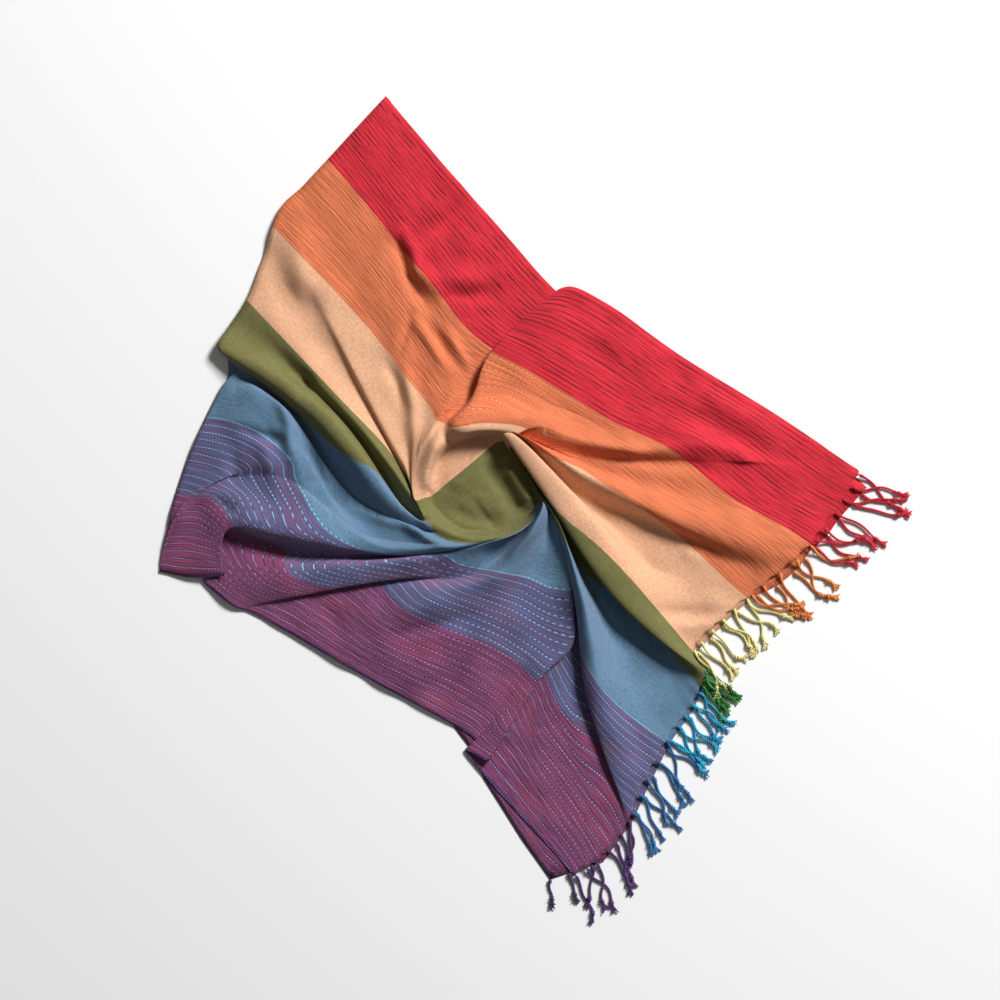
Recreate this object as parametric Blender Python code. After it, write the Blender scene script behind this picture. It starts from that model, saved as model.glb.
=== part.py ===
"""A handwoven striped scarf, folded in half, laid flat and swirled round its middle.

The upper layer is built as the stretches that show, each a thin wall lofted through its own folds, which
run from the twist in the middle to the scarf's edge. A green bowl closes the middle. The layer beneath is
one low rounded solid, flat underneath, and seven bands of knotted fringe hang on each of the two ends.
"""
import math
from typing import NamedTuple

import bpy
import numpy as np
from mathutils.bvhtree import BVHTree

MM = 0.001

CLOTH = 1.5             # thickness of the woven cloth, mm
STEEPEST = 0.5          # below this lean of the surface the wall is measured less than square to it
SEAM = 0.3              # clearance between neighbouring solids
UNDER_CLOTH = 2.2       # height of the layer beneath, at its edge
UNDER_CROWN = 2.5       # and in the middle, under the twist
UNDER_INSET = 9.0       # how far that layer stays inside the upper one where it is hidden
ROUND_EDGE = 0.7        # rounding of its edge
HALO = 1.0              # how close beside a spot a wall above it still counts
REST_LEVEL = UNDER_CROWN + SEAM     # the upper layer lies no lower than this
THINNEST = 1.2          # and is at least this thick where it is pressed flat

WALL_STEP = 24.0        # longest step between two columns of a stretch, along its edge
WALL_SHARES = (0.16, 0.20, 0.25, 0.31, 0.37, 0.42, 0.48, 0.55, 0.62, 0.69, 0.76, 0.84, 0.92, 1.0)
RIM_SHARE, NEAR_SHARE, FAR_SHARE, TURN_SHARE = 0.16, 0.42, 0.72, 0.86
HEM_DROP, HEM_OUT, HEM_BEAD = 2.2, 0.9, 0.5     # how far a lip's rolled hem hangs, stands out and is thick

BOWL_FLOOR, BOWL_SKIRT = 9.0, 4.6       # heights of the bowl's floor and of the skirt tucked under the folds
BOWL_STEPS = 40
# The bowl's rings: reach, and share of the drop to the skirt.
BOWL_RINGS = ((0.35, 0.0), (0.74, 0.0), (0.88, 1.0), (0.99, 1.0))


class Fold(NamedTuple):
    """One fold line, from the rim of the twist to the scarf's edge.

    A tuck lies hidden under the next stretch. Each place on a fold is given in millimetres across, up and
    high, with the number of stripes that lie above it.
    """
    name: str
    rim: tuple
    near: tuple
    far: tuple
    edge: tuple
    turn: tuple = None      # a bend close to the edge
    corner: bool = False    # the scarf's outline turns sharply here
    under: tuple = None     # across, up and stripe of the layer beneath's edge, where it shows


POLE = (-22, 12)       # the middle of the twist, across and up

RIGHT_PANEL = (
    Fold("notch lip", (-54, 84, 29, 2.15), (-33, 120, 19, 1.65), (-10, 178, 15, 1.0), (65, 247, 12, 0)),
    Fold("red rise", (-24, 90, 32, 2.15), (0, 128, 13, 1.55), (22, 162, 11, 1.0), (82, 255, 13, 0)),
    Fold("red flat", (2, 90, 31, 2.15), (50, 112, 12, 1.45), (78, 129, 9, 1.0), (125, 237, 7, 0)),
    Fold("red middle", (18, 88, 29, 2.1), (92, 95, 12, 1.35), (140, 92, 9, 1.0), (215, 174, 5, 0)),
    Fold("orange crest", (27, 84, 30, 2.1), (98, 72, 25, 1.65), (180, 60, 15, 1.15), (335, 100, 4, 0)),
    Fold("orange hollow", (30, 79, 18, 2.35), (96, 54, 8, 1.85), (212, 47, 5, 1.07), (430, 35, 4, 0),
         corner=True, under=(439, 16, 0.1)),
    Fold("orange flat", (31, 76, 18, 2.35), (103, 43, 10, 1.9), (250, 0, 7, 1.2), (400, -15, 4, 0.55),
         under=(408, -22, 0.55)),
    Fold("long crest", (31, 72, 24, 2.4), (101, 31, 21, 2.07), (215, -27, 15, 1.85), (352, -71, 7, 1.25),
         under=(360, -80, 1.25)),
    Fold("long foot", (30, 68, 14, 2.55), (99, 16, 8, 2.35), (228, -53, 6, 2.0), (325, -93, 4.5, 1.6),
         under=(331, -103, 1.6)),
    Fold("peach flat", (28, 65, 15, 2.6), (100, 2, 9, 2.55), (195, -88, 7, 2.45), (268, -139, 4.5, 2.4),
         under=(272, -143, 2.4)),
    Fold("flap shoulder", (24, 62, 22, 2.65), (76, 14, 24, 2.75), (150, -89, 16, 3.0),
         (231, -181, 9, 3.0), under=(234, -184, 3.0)),
    Fold("flap lip", (15, 62, 18, 2.8), (50, 8, 22, 2.97), (138, -119, 14, 3.4), (244, -206, 13, 3.5),
         under=(245, -210, 3.5)),
)
LOWER_RIGHT_PANEL = (
    Fold("flap tuck", (26, 52, 9, 3.05), (66, 14, 7, 3.25), (151, -106, 5, 3.75), (234, -203, 5, 3.9)),
    Fold("deep valley", (38, 30, 9, 3.4), (86, -44, 7, 3.8), (160, -165, 5, 4.3), (228, -246, 4, 4.35),
         under=(231, -248, 4.35)),
    Fold("blue slope", (46, 14, 13, 3.65), (101, -90, 11, 4.12), (152, -212, 7, 4.65),
         (200, -285, 5, 4.97), under=(204, -288, 4.97)),
    Fold("blue crest", (52, -1, 17, 3.8), (98, -106, 21, 4.35), (121, -238, 17, 5.15),
         (170, -345, 8, 5.7), under=(174, -348, 5.7)),
    Fold("blue lip", (55, -12, 15, 3.9), (87, -106, 15, 4.55), (104, -238, 13, 5.4), (154, -380, 8, 6.08),
         under=(158, -384, 6.08)),
)
PLUM_CORNER = (
    Fold("blue tuck", (59, -9, 9.5, 4.0), (100, -108, 6.5, 4.9), (120, -238, 5, 5.75), (160, -370, 4, 6.1)),
    Fold("plum floor", (58, -16, 9.5, 4.15), (92, -160, 6, 5.3), (94, -262, 4.5, 6.0),
         (118, -429, 4, 6.6), under=(122, -434, 6.6)),
    Fold("plum tip", (56.5, -21, 9.5, 4.2), (84, -160, 6, 5.4), (48, -298, 4.5, 6.45), (92, -449, 4, 7),
         corner=True, under=(60, -455, 7.2)),
    Fold("plum edge", (55, -25, 9.5, 4.22), (78, -152, 6, 5.42), (34, -236, 4.5, 6.4), (12, -358, 4, 7),
         under=(2, -370, 8)),
    Fold("plum tuck", (53, -28, 9.5, 4.25), (70, -142, 6, 5.45), (26, -212, 4.5, 6.3), (-30, -304, 4, 7)),
)
LOWER_PANEL = (
    Fold("panel lip", (53, -19, 14, 4.15), (84, -146, 12, 5.35), (48, -215, 11, 6.0), (-14, -313, 9, 7),
         under=(-22, -328, 8)),
    Fold("panel hollow", (51, -23, 13, 4.2), (60, -118, 9, 5.12), (30, -192, 7, 5.95), (-32, -286, 6, 7)),
    Fold("panel flat", (48.5, -27, 14, 4.2), (34, -94, 11, 5.02), (-12, -172, 8, 6.0), (-70, -262, 5, 7)),
    Fold("cord crest", (45, -30.5, 22, 4.25), (9, -84, 21, 4.97), (-110, -127, 14, 5.97), (-158, -214, 8, 7)),
    Fold("roll foot", (40, -34, 15, 4.2), (-28, -86, 11, 5.05), (-150, -101, 7, 6.0), (-300, -138, 4, 7)),
    Fold("roll lip", (34, -37, 17, 4.18), (-45, -76, 15, 4.97), (-185, -101, 12, 5.93), (-318, -129, 6, 7)),
    Fold("roll crest", (28, -39, 19, 4.12), (-62, -66, 21, 4.95), (-195, -83, 17, 5.6), (-340, -112, 6, 7)),
    Fold("roll hollow", (22, -40, 13, 4.08), (-92, -66, 9, 4.8), (-232, -66, 6, 5.9), (-354, -99, 4, 7),
         turn=(-322, -58, 5, 6.5)),
    Fold("roll tuck", (16, -40.5, 10, 4.04), (-120, -54, 8, 4.75), (-256, -34, 6, 5.85), (-366, -94, 4, 7),
         turn=(-340, -24, 5, 6.4)),
)
LEFT_PANEL = (
    Fold("left lip", (13, -43, 17, 4.04), (-108, -66, 16, 4.78), (-258, -46, 15, 5.45), (-329, -90, 9, 7),
         turn=(-324, -33, 14, 6.1)),
    Fold("left panel", (-6, -46, 17, 4.0), (-125, -58, 18, 4.7), (-250, -10, 15, 5.2), (-370, -93, 6, 7),
         turn=(-336, -27, 11, 6.1)),
    Fold("left corner", (-34, -48, 17, 3.98), (-150, -45, 13, 4.55), (-274, 8, 12, 5.4),
         (-408, -86, 4, 7), turn=(-352, -16, 7, 6.1), corner=True),
    Fold("left side", (-56, -46, 15, 3.97), (-168, -25, 8, 4.45), (-254, 48, 14, 5.0), (-388, 10, 4, 6.0)),
    Fold("blue shoulder", (-68, -43, 13, 3.97), (-176, -5, 7, 4.4), (-262, 80, 13, 4.8),
         (-352, 100, 5, 5.0)),
    Fold("blue lobe", (-77, -38, 12, 3.97), (-168, 6, 6, 4.35), (-252, 108, 12, 4.55), (-328, 143, 5, 4.55)),
    Fold("dark valley", (-84, -32, 11, 3.98), (-144, 0, 7, 4.3), (-236, 97, 5, 4.2), (-316, 157, 5, 4.15)),
    Fold("green tuck", (-90, -26, 10, 3.99), (-112, 4, 7, 4.2), (-208, 110, 5, 3.9), (-312, 178, 4.5, 4.0)),
)
UPPER_PANEL = (
    Fold("green lip", (-86, -36, 15, 4.05), (-130, -14, 14, 4.2), (-224, 96, 14, 3.85), (-330, 170, 9, 3.85)),
    Fold("green crest", (-89, -31, 18, 4.03), (-124, -9, 18, 4.08), (-215, 112, 17, 3.7),
         (-338, 183, 9, 3.65)),
    Fold("green gully", (-92, -25, 13, 4.0), (-119, -4, 10, 3.8), (-190, 100, 8, 3.55), (-322, 212, 6, 3.35)),
    Fold("rim crest", (-95, -18, 17, 3.9), (-117, 6, 17, 3.38), (-170, 88, 15, 3.12), (-303, 240, 5, 3.0)),
    Fold("peach gully", (-96, -9, 14, 3.7), (-113, 22, 10, 3.08), (-160, 110, 9, 2.85), (-285, 287, 5, 2.45)),
    Fold("peach crest", (-97, 3, 15, 3.4), (-117, 54, 13, 2.8), (-182, 186, 11, 2.4), (-262, 351, 6, 1.75)),
    Fold("peach hollow", (-98, 14, 17, 3.15), (-113, 68, 11, 2.6), (-145, 172, 8, 2.2), (-235, 378, 4, 1.4)),
    Fold("peach fold", (-97, 24, 20, 2.85), (-103, 92, 13, 2.35), (-125, 204, 9, 1.75), (-185, 432, 4, 0.7)),
    Fold("top corner", (-94, 42, 23, 2.6), (-88, 112, 11, 2.05), (-115, 255, 8, 1.28), (-137, 484, 4, 0),
         corner=True),
    Fold("orange hump", (-87, 56, 25, 2.45), (-70, 122, 12, 1.78), (-85, 235, 9, 1.18), (-60, 393, 5, 0)),
    Fold("red flat", (-79, 66, 24, 2.35), (-57, 126, 12, 1.68), (-45, 212, 8, 1.0), (5, 320, 4, 0)),
    Fold("red hollow", (-72, 71, 20, 2.3), (-45, 125, 9, 1.62), (-16, 188, 6, 0.98), (50, 268, 4.5, 0)),
    Fold("notch tuck", (-62, 76, 14, 2.25), (-22, 112, 7, 1.7), (16, 168, 5, 1.0), (84, 226, 4, 0)),
)
# The stretches from the topmost down: name, folds, and whether the first and the last fold are rolled lips.
STRETCHES = (
    ("right_panel", RIGHT_PANEL, True, True),
    ("upper_panel", UPPER_PANEL, True, False),
    ("left_panel", LEFT_PANEL, True, False),
    ("lower_panel", LOWER_PANEL, True, False),
    ("lower_right_panel", LOWER_RIGHT_PANEL, False, True),
    ("plum_corner", PLUM_CORNER, False, False),
)
ROUND_THE_TWIST = (RIGHT_PANEL, LOWER_RIGHT_PANEL, PLUM_CORNER, LOWER_PANEL, LEFT_PANEL, UPPER_PANEL)

ROUGHNESS = 0.85
STRIPE_COLOURS = {
    "red": (0.62, 0.03, 0.05),
    "orange": (0.74, 0.21, 0.08),
    "peach": (0.74, 0.43, 0.25),
    "green": (0.17, 0.21, 0.06),
    "blue": (0.10, 0.24, 0.38),
    "periwinkle": (0.14, 0.11, 0.27),
    "plum": (0.23, 0.05, 0.13),
    "violet": (0.30, 0.09, 0.30),
}
PANEL_COLOURS = {
    "right_panel": "red",
    "lower_right_panel": "blue",
    "plum_corner": "plum",
    "lower_panel": "periwinkle",
    "left_panel": "blue",
    "upper_panel": "orange",
}

STRIP_WIDTH = 4.0       # the woven heading that the fringe hangs from
STRIP_FLOOR = 0.3       # its underside on the lower layer
HEADING_GAP = 1.0       # between two colours' headings
END_BEARING = -35.0     # which way the fringed end faces, degrees up from across
LOWER_CORNER_STRIPE = 7.2   # the lower layer's plum corner, which lies past the upper one
TASSEL_WIDTH = 3.0
TASSEL_FLOOR = 0.25     # clearance between a tassel and the floor
TASSEL_LEVEL = 17.0     # how far out an upper tassel stays level before it comes down
TASSEL_FALL = 22.0      # and how far it takes to reach the floor
# Along a tassel: share of its length, and its thickness against the root's. The knot is the thick one.
TASSEL_SECTIONS = ((0.16, 0.95), (0.36, 0.9), (0.56, 0.9), (0.72, 1.4), (0.84, 1.1), (1.0, 0.6))


class Fringe(NamedTuple):
    """One colour of fringe on one end of the scarf, by the stripes of the edge that it hangs from."""
    colour: str
    edge: str           # the stretch whose edge carries it, or the layer beneath
    first: float        # where its heading starts and ends
    last: float
    root: float         # its first tassel, and the step to the next
    step: float
    tassels: int
    leaves: float       # the bearings, in degrees, that the tassels leave the edge and end with
    ends: float
    length: float


FRINGES = (
    Fringe("red", "right_panel", 0.0, 1.0, 0.03, 0.2, 5, -38, -4, 62),
    Fringe("orange", "right_panel", 1.0, 2.0, 1.03, 0.2, 5, -55, -10, 60),
    Fringe("peach", "right_panel", 2.0, 3.0, 2.05, 0.2, 5, -54, -36, 56),
    Fringe("green", "lower_right_panel", 3.93, 4.14, 3.96, 0.075, 3, -46, -36, 42),
    Fringe("blue", "lower_right_panel", 4.2, 5.0, 4.28, 0.2, 4, -45, -50, 52),
    Fringe("periwinkle", "lower_right_panel", 5.0, 6.0, 5.05, 0.2, 5, -46, -62, 56),
    Fringe("plum", "plum_corner", 6.25, 7.0, 6.3, 0.15, 5, -58, -80, 54),
    Fringe("red", "under_layer", 0.12, 1.0, 0.32, 0.2, 4, -28, -8, 50),
    Fringe("orange", "under_layer", 1.0, 2.0, 1.32, 0.2, 4, -46, -12, 50),
    Fringe("peach", "under_layer", 2.0, 3.0, 2.15, 0.2, 5, -54, -36, 54),
    Fringe("green", "under_layer", 3.3, 3.6, 3.42, 0.2, 1, -42, -32, 42),
    Fringe("blue", "under_layer", 4.2, 5.0, 4.37, 0.2, 3, -45, -50, 50),
    Fringe("periwinkle", "under_layer", 5.0, 6.0, 5.15, 0.2, 5, -46, -62, 52),
    Fringe("plum", "under_layer", 6.2, 6.6, 6.33, 0.17, 2, -60, -78, 46),
    Fringe("violet", "under_layer", 6.85, 7.19, 6.95, 0.17, 2, -85, -74, 40),
)


def spline(knots, points, at):
    """Reads a smooth curve through points, known at knots, at the places in at."""
    steps = np.diff(knots)[:, None]
    pace = np.diff(points, axis=0) / steps
    slopes = np.empty_like(points)
    slopes[1:-1] = (pace[:-1] * steps[1:] + pace[1:] * steps[:-1]) / (steps[:-1] + steps[1:])
    slopes[0] = pace[0]
    slopes[-1] = pace[-1]
    i = np.clip(np.searchsorted(knots, at, side="right") - 1, 0, len(knots) - 2)
    u = ((at - knots[i]) / steps[i, 0])[:, None]
    rise = u * u * (3 - 2 * u)
    start_slope = steps[i] * slopes[i] * u * (1 - u) ** 2
    end_slope = steps[i] * slopes[i + 1] * u * u * (u - 1)
    return points[i] * (1 - rise) + points[i + 1] * rise + start_slope + end_slope


def fold_line(fold):
    """A fold from the rim out to the edge, at each of the wall's rows."""
    stations = [(RIM_SHARE, fold.rim), (NEAR_SHARE, fold.near), (FAR_SHARE, fold.far), (1.0, fold.edge)]
    if fold.turn:
        stations.insert(3, (TURN_SHARE, fold.turn))
    knots = np.array([share for share, _ in stations])
    points = np.array([place for _, place in stations], dtype=float)
    return spline(knots, points, np.array(WALL_SHARES))


def across_folds(points, at):
    """A smooth row through the folds' points, read at fold numbers and the shares between them."""
    gaps = np.linalg.norm(np.diff(points[:, :2], axis=0), axis=1)
    knots = np.concatenate([[0], np.cumsum(np.sqrt(np.maximum(gaps, SEAM)))])
    return spline(knots, points, np.interp(at, np.arange(len(points)), knots))


def panel_grid(folds):
    """The stretch's upper face: a row for each share, and columns from fold to fold."""
    lines = np.array([fold_line(fold) for fold in folds])
    spans = np.linalg.norm(np.diff(lines[:, :, :2], axis=0), axis=2).max(axis=1)
    counts = np.maximum(1, np.round(spans / WALL_STEP)).astype(int)
    at = np.array([i + k / n for i, n in enumerate(counts) for k in range(n)] + [len(folds) - 1.0])
    grid = np.array([across_folds(lines[:, j], at) for j in range(len(WALL_SHARES))])
    for i, fold in enumerate(folds):
        if fold.corner:
            sharpen(grid, at, i)
    grid[..., 2] = np.maximum(grid[..., 2], REST_LEVEL + THINNEST)
    return grid


def sharpen(grid, at, corner):
    """Draws the edge straight from a corner to the fold lines on both sides of it."""
    edge = grid[-1]
    middle = int(np.argmin(np.abs(at - corner)))
    for neighbour in (corner - 1, corner + 1):
        end = int(np.argmin(np.abs(at - neighbour)))
        for column in range(min(middle, end) + 1, max(middle, end)):
            share = abs(at[column] - corner)
            edge[column] = edge[middle] * (1 - share) + edge[end] * share


def underside(grid):
    """The wall's lower face, a cloth's thickness down, and flat where the cloth rests."""
    square = np.cross(np.gradient(grid, axis=1), np.gradient(grid, axis=0))
    lean = np.abs(square[..., 2]) / np.maximum(np.linalg.norm(square, axis=2), 1e-9)
    below = grid.copy()
    below[..., 2] = np.maximum(grid[..., 2] - CLOTH / np.maximum(lean, STEEPEST), REST_LEVEL)
    return below


def with_hems(grid, below, first, last):
    """Adds a column to both faces that rolls down over the outside of each lip."""
    for wanted, edge, inner in ((first, 0, 1), (last, -1, -2)):
        if not wanted:
            continue
        away = grid[:, edge, :2] - grid[:, inner, :2]
        away /= np.linalg.norm(away, axis=1, keepdims=True)
        hem = grid[:, edge].copy()
        hem[:, :2] += HEM_OUT * away
        hem[:, 2] = np.maximum(hem[:, 2] - HEM_DROP, REST_LEVEL + HEM_BEAD)
        bead = below[:, edge].copy()
        bead[:, 2] = np.minimum(bead[:, 2], hem[:, 2]) - HEM_BEAD
        joined = ([hem[:, None], grid], [bead[:, None], below])
        if edge == -1:
            joined = ([grid, hem[:, None]], [below, bead[:, None]])
        grid, below = (np.concatenate(columns, axis=1) for columns in joined)
    return grid, below


def shell(grid, below):
    """Vertices and faces of the closed wall between two faces given as rows and columns of points."""
    rows, columns = grid.shape[:2]
    count = rows * columns
    number = np.arange(count).reshape(rows, columns)
    faces = []
    for j in range(rows - 1):
        for i in range(columns - 1):
            quad = (number[j, i], number[j, i + 1], number[j + 1, i + 1], number[j + 1, i])
            faces.append(quad)
            faces.append(tuple(v + count for v in reversed(quad)))
    border = [*number[0, :], *number[1:, -1], *number[-1, -2::-1], *number[-2:0:-1, 0]]
    for a, b in zip(border, border[1:] + border[:1]):
        faces.append((b, a, a + count, b + count))
    return np.concatenate([grid.reshape(-1, 3), below.reshape(-1, 3)]), faces


def cover_tree(shells):
    """A search tree over the walls that lie on top of the next one."""
    vertices, faces = [], []
    for places, polygons in shells:
        start = len(vertices)
        vertices += [tuple(place) for place in places]
        faces += [tuple(int(v) + start for v in polygon) for polygon in polygons]
    return BVHTree.FromPolygons(vertices, faces)


def room_above(tree, across, up):
    """The height of the lowest wall over a spot and its close neighbourhood."""
    heights = []
    for side, back in ((0, 0), (HALO, 0), (-HALO, 0), (0, HALO), (0, -HALO)):
        hit = tree.ray_cast((across + side, up + back, -1), (0, 0, 1))[0]
        if hit:
            heights.append(hit.z)
    return min(heights, default=math.inf)


def settle_under(grid, tree):
    """Lowers a stretch wherever it would touch the walls that lie over it."""
    rows, columns = grid.shape[:2]
    shares = (0.0, 0.33, 0.67, 1.0)
    for _ in range(3):
        lowered = grid[..., 2].copy()
        for j in range(rows - 1):
            for i in range(columns - 1):
                corners = ((j, i), (j, i + 1), (j + 1, i), (j + 1, i + 1))
                for u in shares:
                    for v in shares:
                        weights = ((1 - u) * (1 - v), (1 - u) * v, u * (1 - v), u * v)
                        spot = sum(w * grid[c] for w, c in zip(weights, corners))
                        excess = spot[2] + SEAM - room_above(tree, spot[0], spot[1])
                        if excess > 0:
                            for corner in corners:
                                lowered[corner] = min(lowered[corner], grid[corner][2] - excess)
        grid[..., 2] = np.maximum(lowered, REST_LEVEL + THINNEST)
    return grid


def rim_circle():
    """The rim of the twist as a reach for each bearing round the middle."""
    rims = np.array([fold.rim[:2] for folds in ROUND_THE_TWIST for fold in folds]) - POLE
    bearing = np.arctan2(rims[:, 1], rims[:, 0])
    order = np.argsort(bearing)
    bearing, reach = bearing[order], np.hypot(rims[order, 0], rims[order, 1])
    turn = np.arange(BOWL_STEPS) * 2 * math.pi / BOWL_STEPS - math.pi
    return turn, np.interp(turn, bearing, reach, period=2 * math.pi)


def bowl_faces(tree):
    """The green bowl in the middle, with its skirt tucked under the folds."""
    turn, reach = rim_circle()
    around = np.stack([np.cos(turn), np.sin(turn)], axis=1)
    top = [(*POLE, BOWL_FLOOR)]
    for share, drop in BOWL_RINGS:
        high = BOWL_FLOOR + (BOWL_SKIRT - BOWL_FLOOR) * drop
        for spot in np.array(POLE) + share * reach[:, None] * around:
            room = room_above(tree, *spot) - 2 * SEAM
            top.append((*spot, max(min(high, room), REST_LEVEL + THINNEST)))
    top = np.array(top)
    below = top.copy()
    below[:, 2] = np.maximum(top[:, 2] - CLOTH, REST_LEVEL)
    count = len(top)
    faces = []
    for i in range(BOWL_STEPS):
        k = (i + 1) % BOWL_STEPS
        faces.append((0, 1 + i, 1 + k))
        for ring in range(len(BOWL_RINGS) - 1):
            a = 1 + ring * BOWL_STEPS
            faces.append((a + i, a + BOWL_STEPS + i, a + BOWL_STEPS + k, a + k))
    faces += [tuple(v + count for v in reversed(face)) for face in faces]
    for i in range(BOWL_STEPS):
        a = count - BOWL_STEPS + i
        b = count - BOWL_STEPS + (i + 1) % BOWL_STEPS
        faces.append((a, a + count, b + count, b))
    return np.concatenate([top, below]), faces


def under_faces():
    """The layer beneath: one low solid with a round edge, a slight crown and a flat underside."""
    middle = np.array(POLE, dtype=float)
    outline = []
    for fold in (fold for folds in ROUND_THE_TWIST for fold in folds):
        inward = middle - fold.edge[:2]
        if fold.under:
            outline.append(np.array(fold.under[:2], dtype=float))
        elif not fold.name.endswith("tuck"):
            outline.append(fold.edge[:2] + UNDER_INSET * inward / np.linalg.norm(inward))
    out = np.array(outline) - middle
    rounded = out - ROUND_EDGE * out / np.linalg.norm(out, axis=1, keepdims=True)
    rings = (
        (rounded, 0.0),
        (out, ROUND_EDGE),
        (out, UNDER_CLOTH - ROUND_EDGE),
        (rounded, UNDER_CLOTH),
        (0.45 * out, UNDER_CLOTH),
        (0.22 * out, UNDER_CROWN),
    )
    steps = len(outline)
    vertices = [(*(middle + place), high) for ring, high in rings for place in ring]
    vertices.append((*middle, UNDER_CROWN))
    crown = len(vertices) - 1
    faces = [tuple(range(steps))]
    for ring in range(len(rings) - 1):
        a = ring * steps
        for i in range(steps):
            k = (i + 1) % steps
            faces.append((a + k, a + i, a + steps + i, a + steps + k))
    a = (len(rings) - 1) * steps
    for i in range(steps):
        faces.append((a + (i + 1) % steps, a + i, crown))
    return np.array(vertices), faces


def lower_edge():
    """The lower layer's fringed end: across, up, high and stripe, from the red to the plum corner."""
    folds = (fold for folds in (RIGHT_PANEL, LOWER_RIGHT_PANEL, PLUM_CORNER) for fold in folds)
    marks = [fold.under for fold in folds if fold.under and fold.under[2] <= LOWER_CORNER_STRIPE]
    return np.array([(across, up, STRIP_FLOOR + CLOTH, stripe) for across, up, stripe in marks])


def upper_edge(grid):
    """A stretch's fringed end, from its first to its last stripe there."""
    edge = grid[-1]
    corner = int(np.argmax(edge[:, 0])) if edge[0, 3] == 0 else 0
    end = int(np.argmin(edge[:, 1]))
    return edge[corner:end + 1]


def edge_reader(edge):
    """Gives a function that reads the place on the fringed end where a stripe count is reached."""
    stripes = np.maximum.accumulate(edge[:, 3] + 1e-6 * np.arange(len(edge)))

    def place(stripe):
        return np.array([np.interp(stripe, stripes, edge[:, k]) for k in range(3)])
    return place


def bearing(degrees):
    return np.array([math.cos(math.radians(degrees)), math.sin(math.radians(degrees)), 0])


def tassel_sections(root, band):
    """The sections of one tassel after its root quad, which curl round from one bearing to another."""
    half_height = (root[:, 2].max() - root[:, 2].min()) / 2
    centre = root.mean(axis=0)
    high = centre[2]
    floor = TASSEL_FLOOR + half_height
    sections = []
    previous, walked = 0.0, 0.0
    for share, size in TASSEL_SECTIONS:
        turned = band.leaves + (band.ends - band.leaves) * (share + previous) / 2
        centre = centre + bearing(turned) * band.length * (share - previous)
        walked = band.length * share
        previous = share
        fall = min(max((walked - TASSEL_LEVEL) / TASSEL_FALL, 0), 1)
        eased = fall * fall * (3 - 2 * fall)
        centre[2] = max(high + (floor - high) * eased, TASSEL_FLOOR + half_height * size)
        way = bearing(band.leaves + (band.ends - band.leaves) * share)
        side = np.array([-way[1], way[0], 0]) * TASSEL_WIDTH / 2 * size
        rise = np.array([0, 0, half_height * size])
        left, right = centre + side, centre - side
        sections.append((left - rise, left + rise, right + rise, right - rise))
    return sections


def fringe_faces(edge, band):
    """One colour of fringe on one end: a narrow heading with its tassels, as one closed solid."""
    place = edge_reader(edge)
    outwards = bearing(END_BEARING)
    length = np.linalg.norm(place(band.last) - place(band.first))
    pace = (band.last - band.first) / length
    half_root, half_gap = pace * TASSEL_WIDTH / 2, pace * HEADING_GAP / 2
    roots = [band.root + k * band.step for k in range(band.tassels)]
    stations = {band.first + half_gap: False, band.last - half_gap: False}
    for root in roots:
        stations[root - half_root] = True       # a tassel leaves the heading from here to the next station
        stations[root + half_root] = False
    for bend in edge[:, 3]:
        clear = all(abs(bend - root) > 1.5 * half_root for root in roots)
        if clear and band.first + 2 * half_gap < bend < band.last - 2 * half_gap:
            stations[bend] = False
    vertices, starts = [], []
    for stripe in sorted(stations):
        near = place(stripe) + 2 * SEAM * outwards
        far = near + STRIP_WIDTH * outwards
        down = np.array([0, 0, CLOTH])
        starts.append(len(vertices))
        vertices += [near - down, near, far, far - down]
    faces = [tuple(range(4)), tuple(starts[-1] + k for k in (3, 2, 1, 0))]
    for a, b, stripe in zip(starts, starts[1:], sorted(stations)):
        is_root = stations[stripe]
        for k in (0, 1, 3) if is_root else range(4):
            n = (k + 1) % 4
            faces.append((a + k, b + k, b + n, a + n))
        if not is_root:
            continue
        ring = (a + 3, a + 2, b + 2, b + 3)
        for section in tassel_sections(np.array([vertices[v] for v in ring]), band):
            following = tuple(range(len(vertices), len(vertices) + 4))
            vertices += section
            for k in range(4):
                n = (k + 1) % 4
                faces.append((ring[k], ring[n], following[n], following[k]))
            ring = following
        faces.append(ring)
    return np.array(vertices), faces


def material(name, colour):
    made = bpy.data.materials.new(name)
    made.use_nodes = True
    shader = made.node_tree.nodes["Principled BSDF"]
    shader.inputs["Base Color"].default_value = (*colour, 1)
    shader.inputs["Roughness"].default_value = ROUGHNESS
    shader.inputs["Metallic"].default_value = 0.0
    return made


def add_piece(name, vertices, faces, colour, centre):
    """Makes a closed piece in metres, with the scarf's middle at the origin."""
    mesh = bpy.data.meshes.new(name)
    places = (vertices - centre) * MM
    mesh.from_pydata(places.tolist(), [], [tuple(int(v) for v in face) for face in faces])
    mesh.update()
    piece = bpy.data.objects.new(name, mesh)
    bpy.context.collection.objects.link(piece)
    piece.data.materials.append(material(name + "_cloth", STRIPE_COLOURS[colour]))
    return piece


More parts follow.
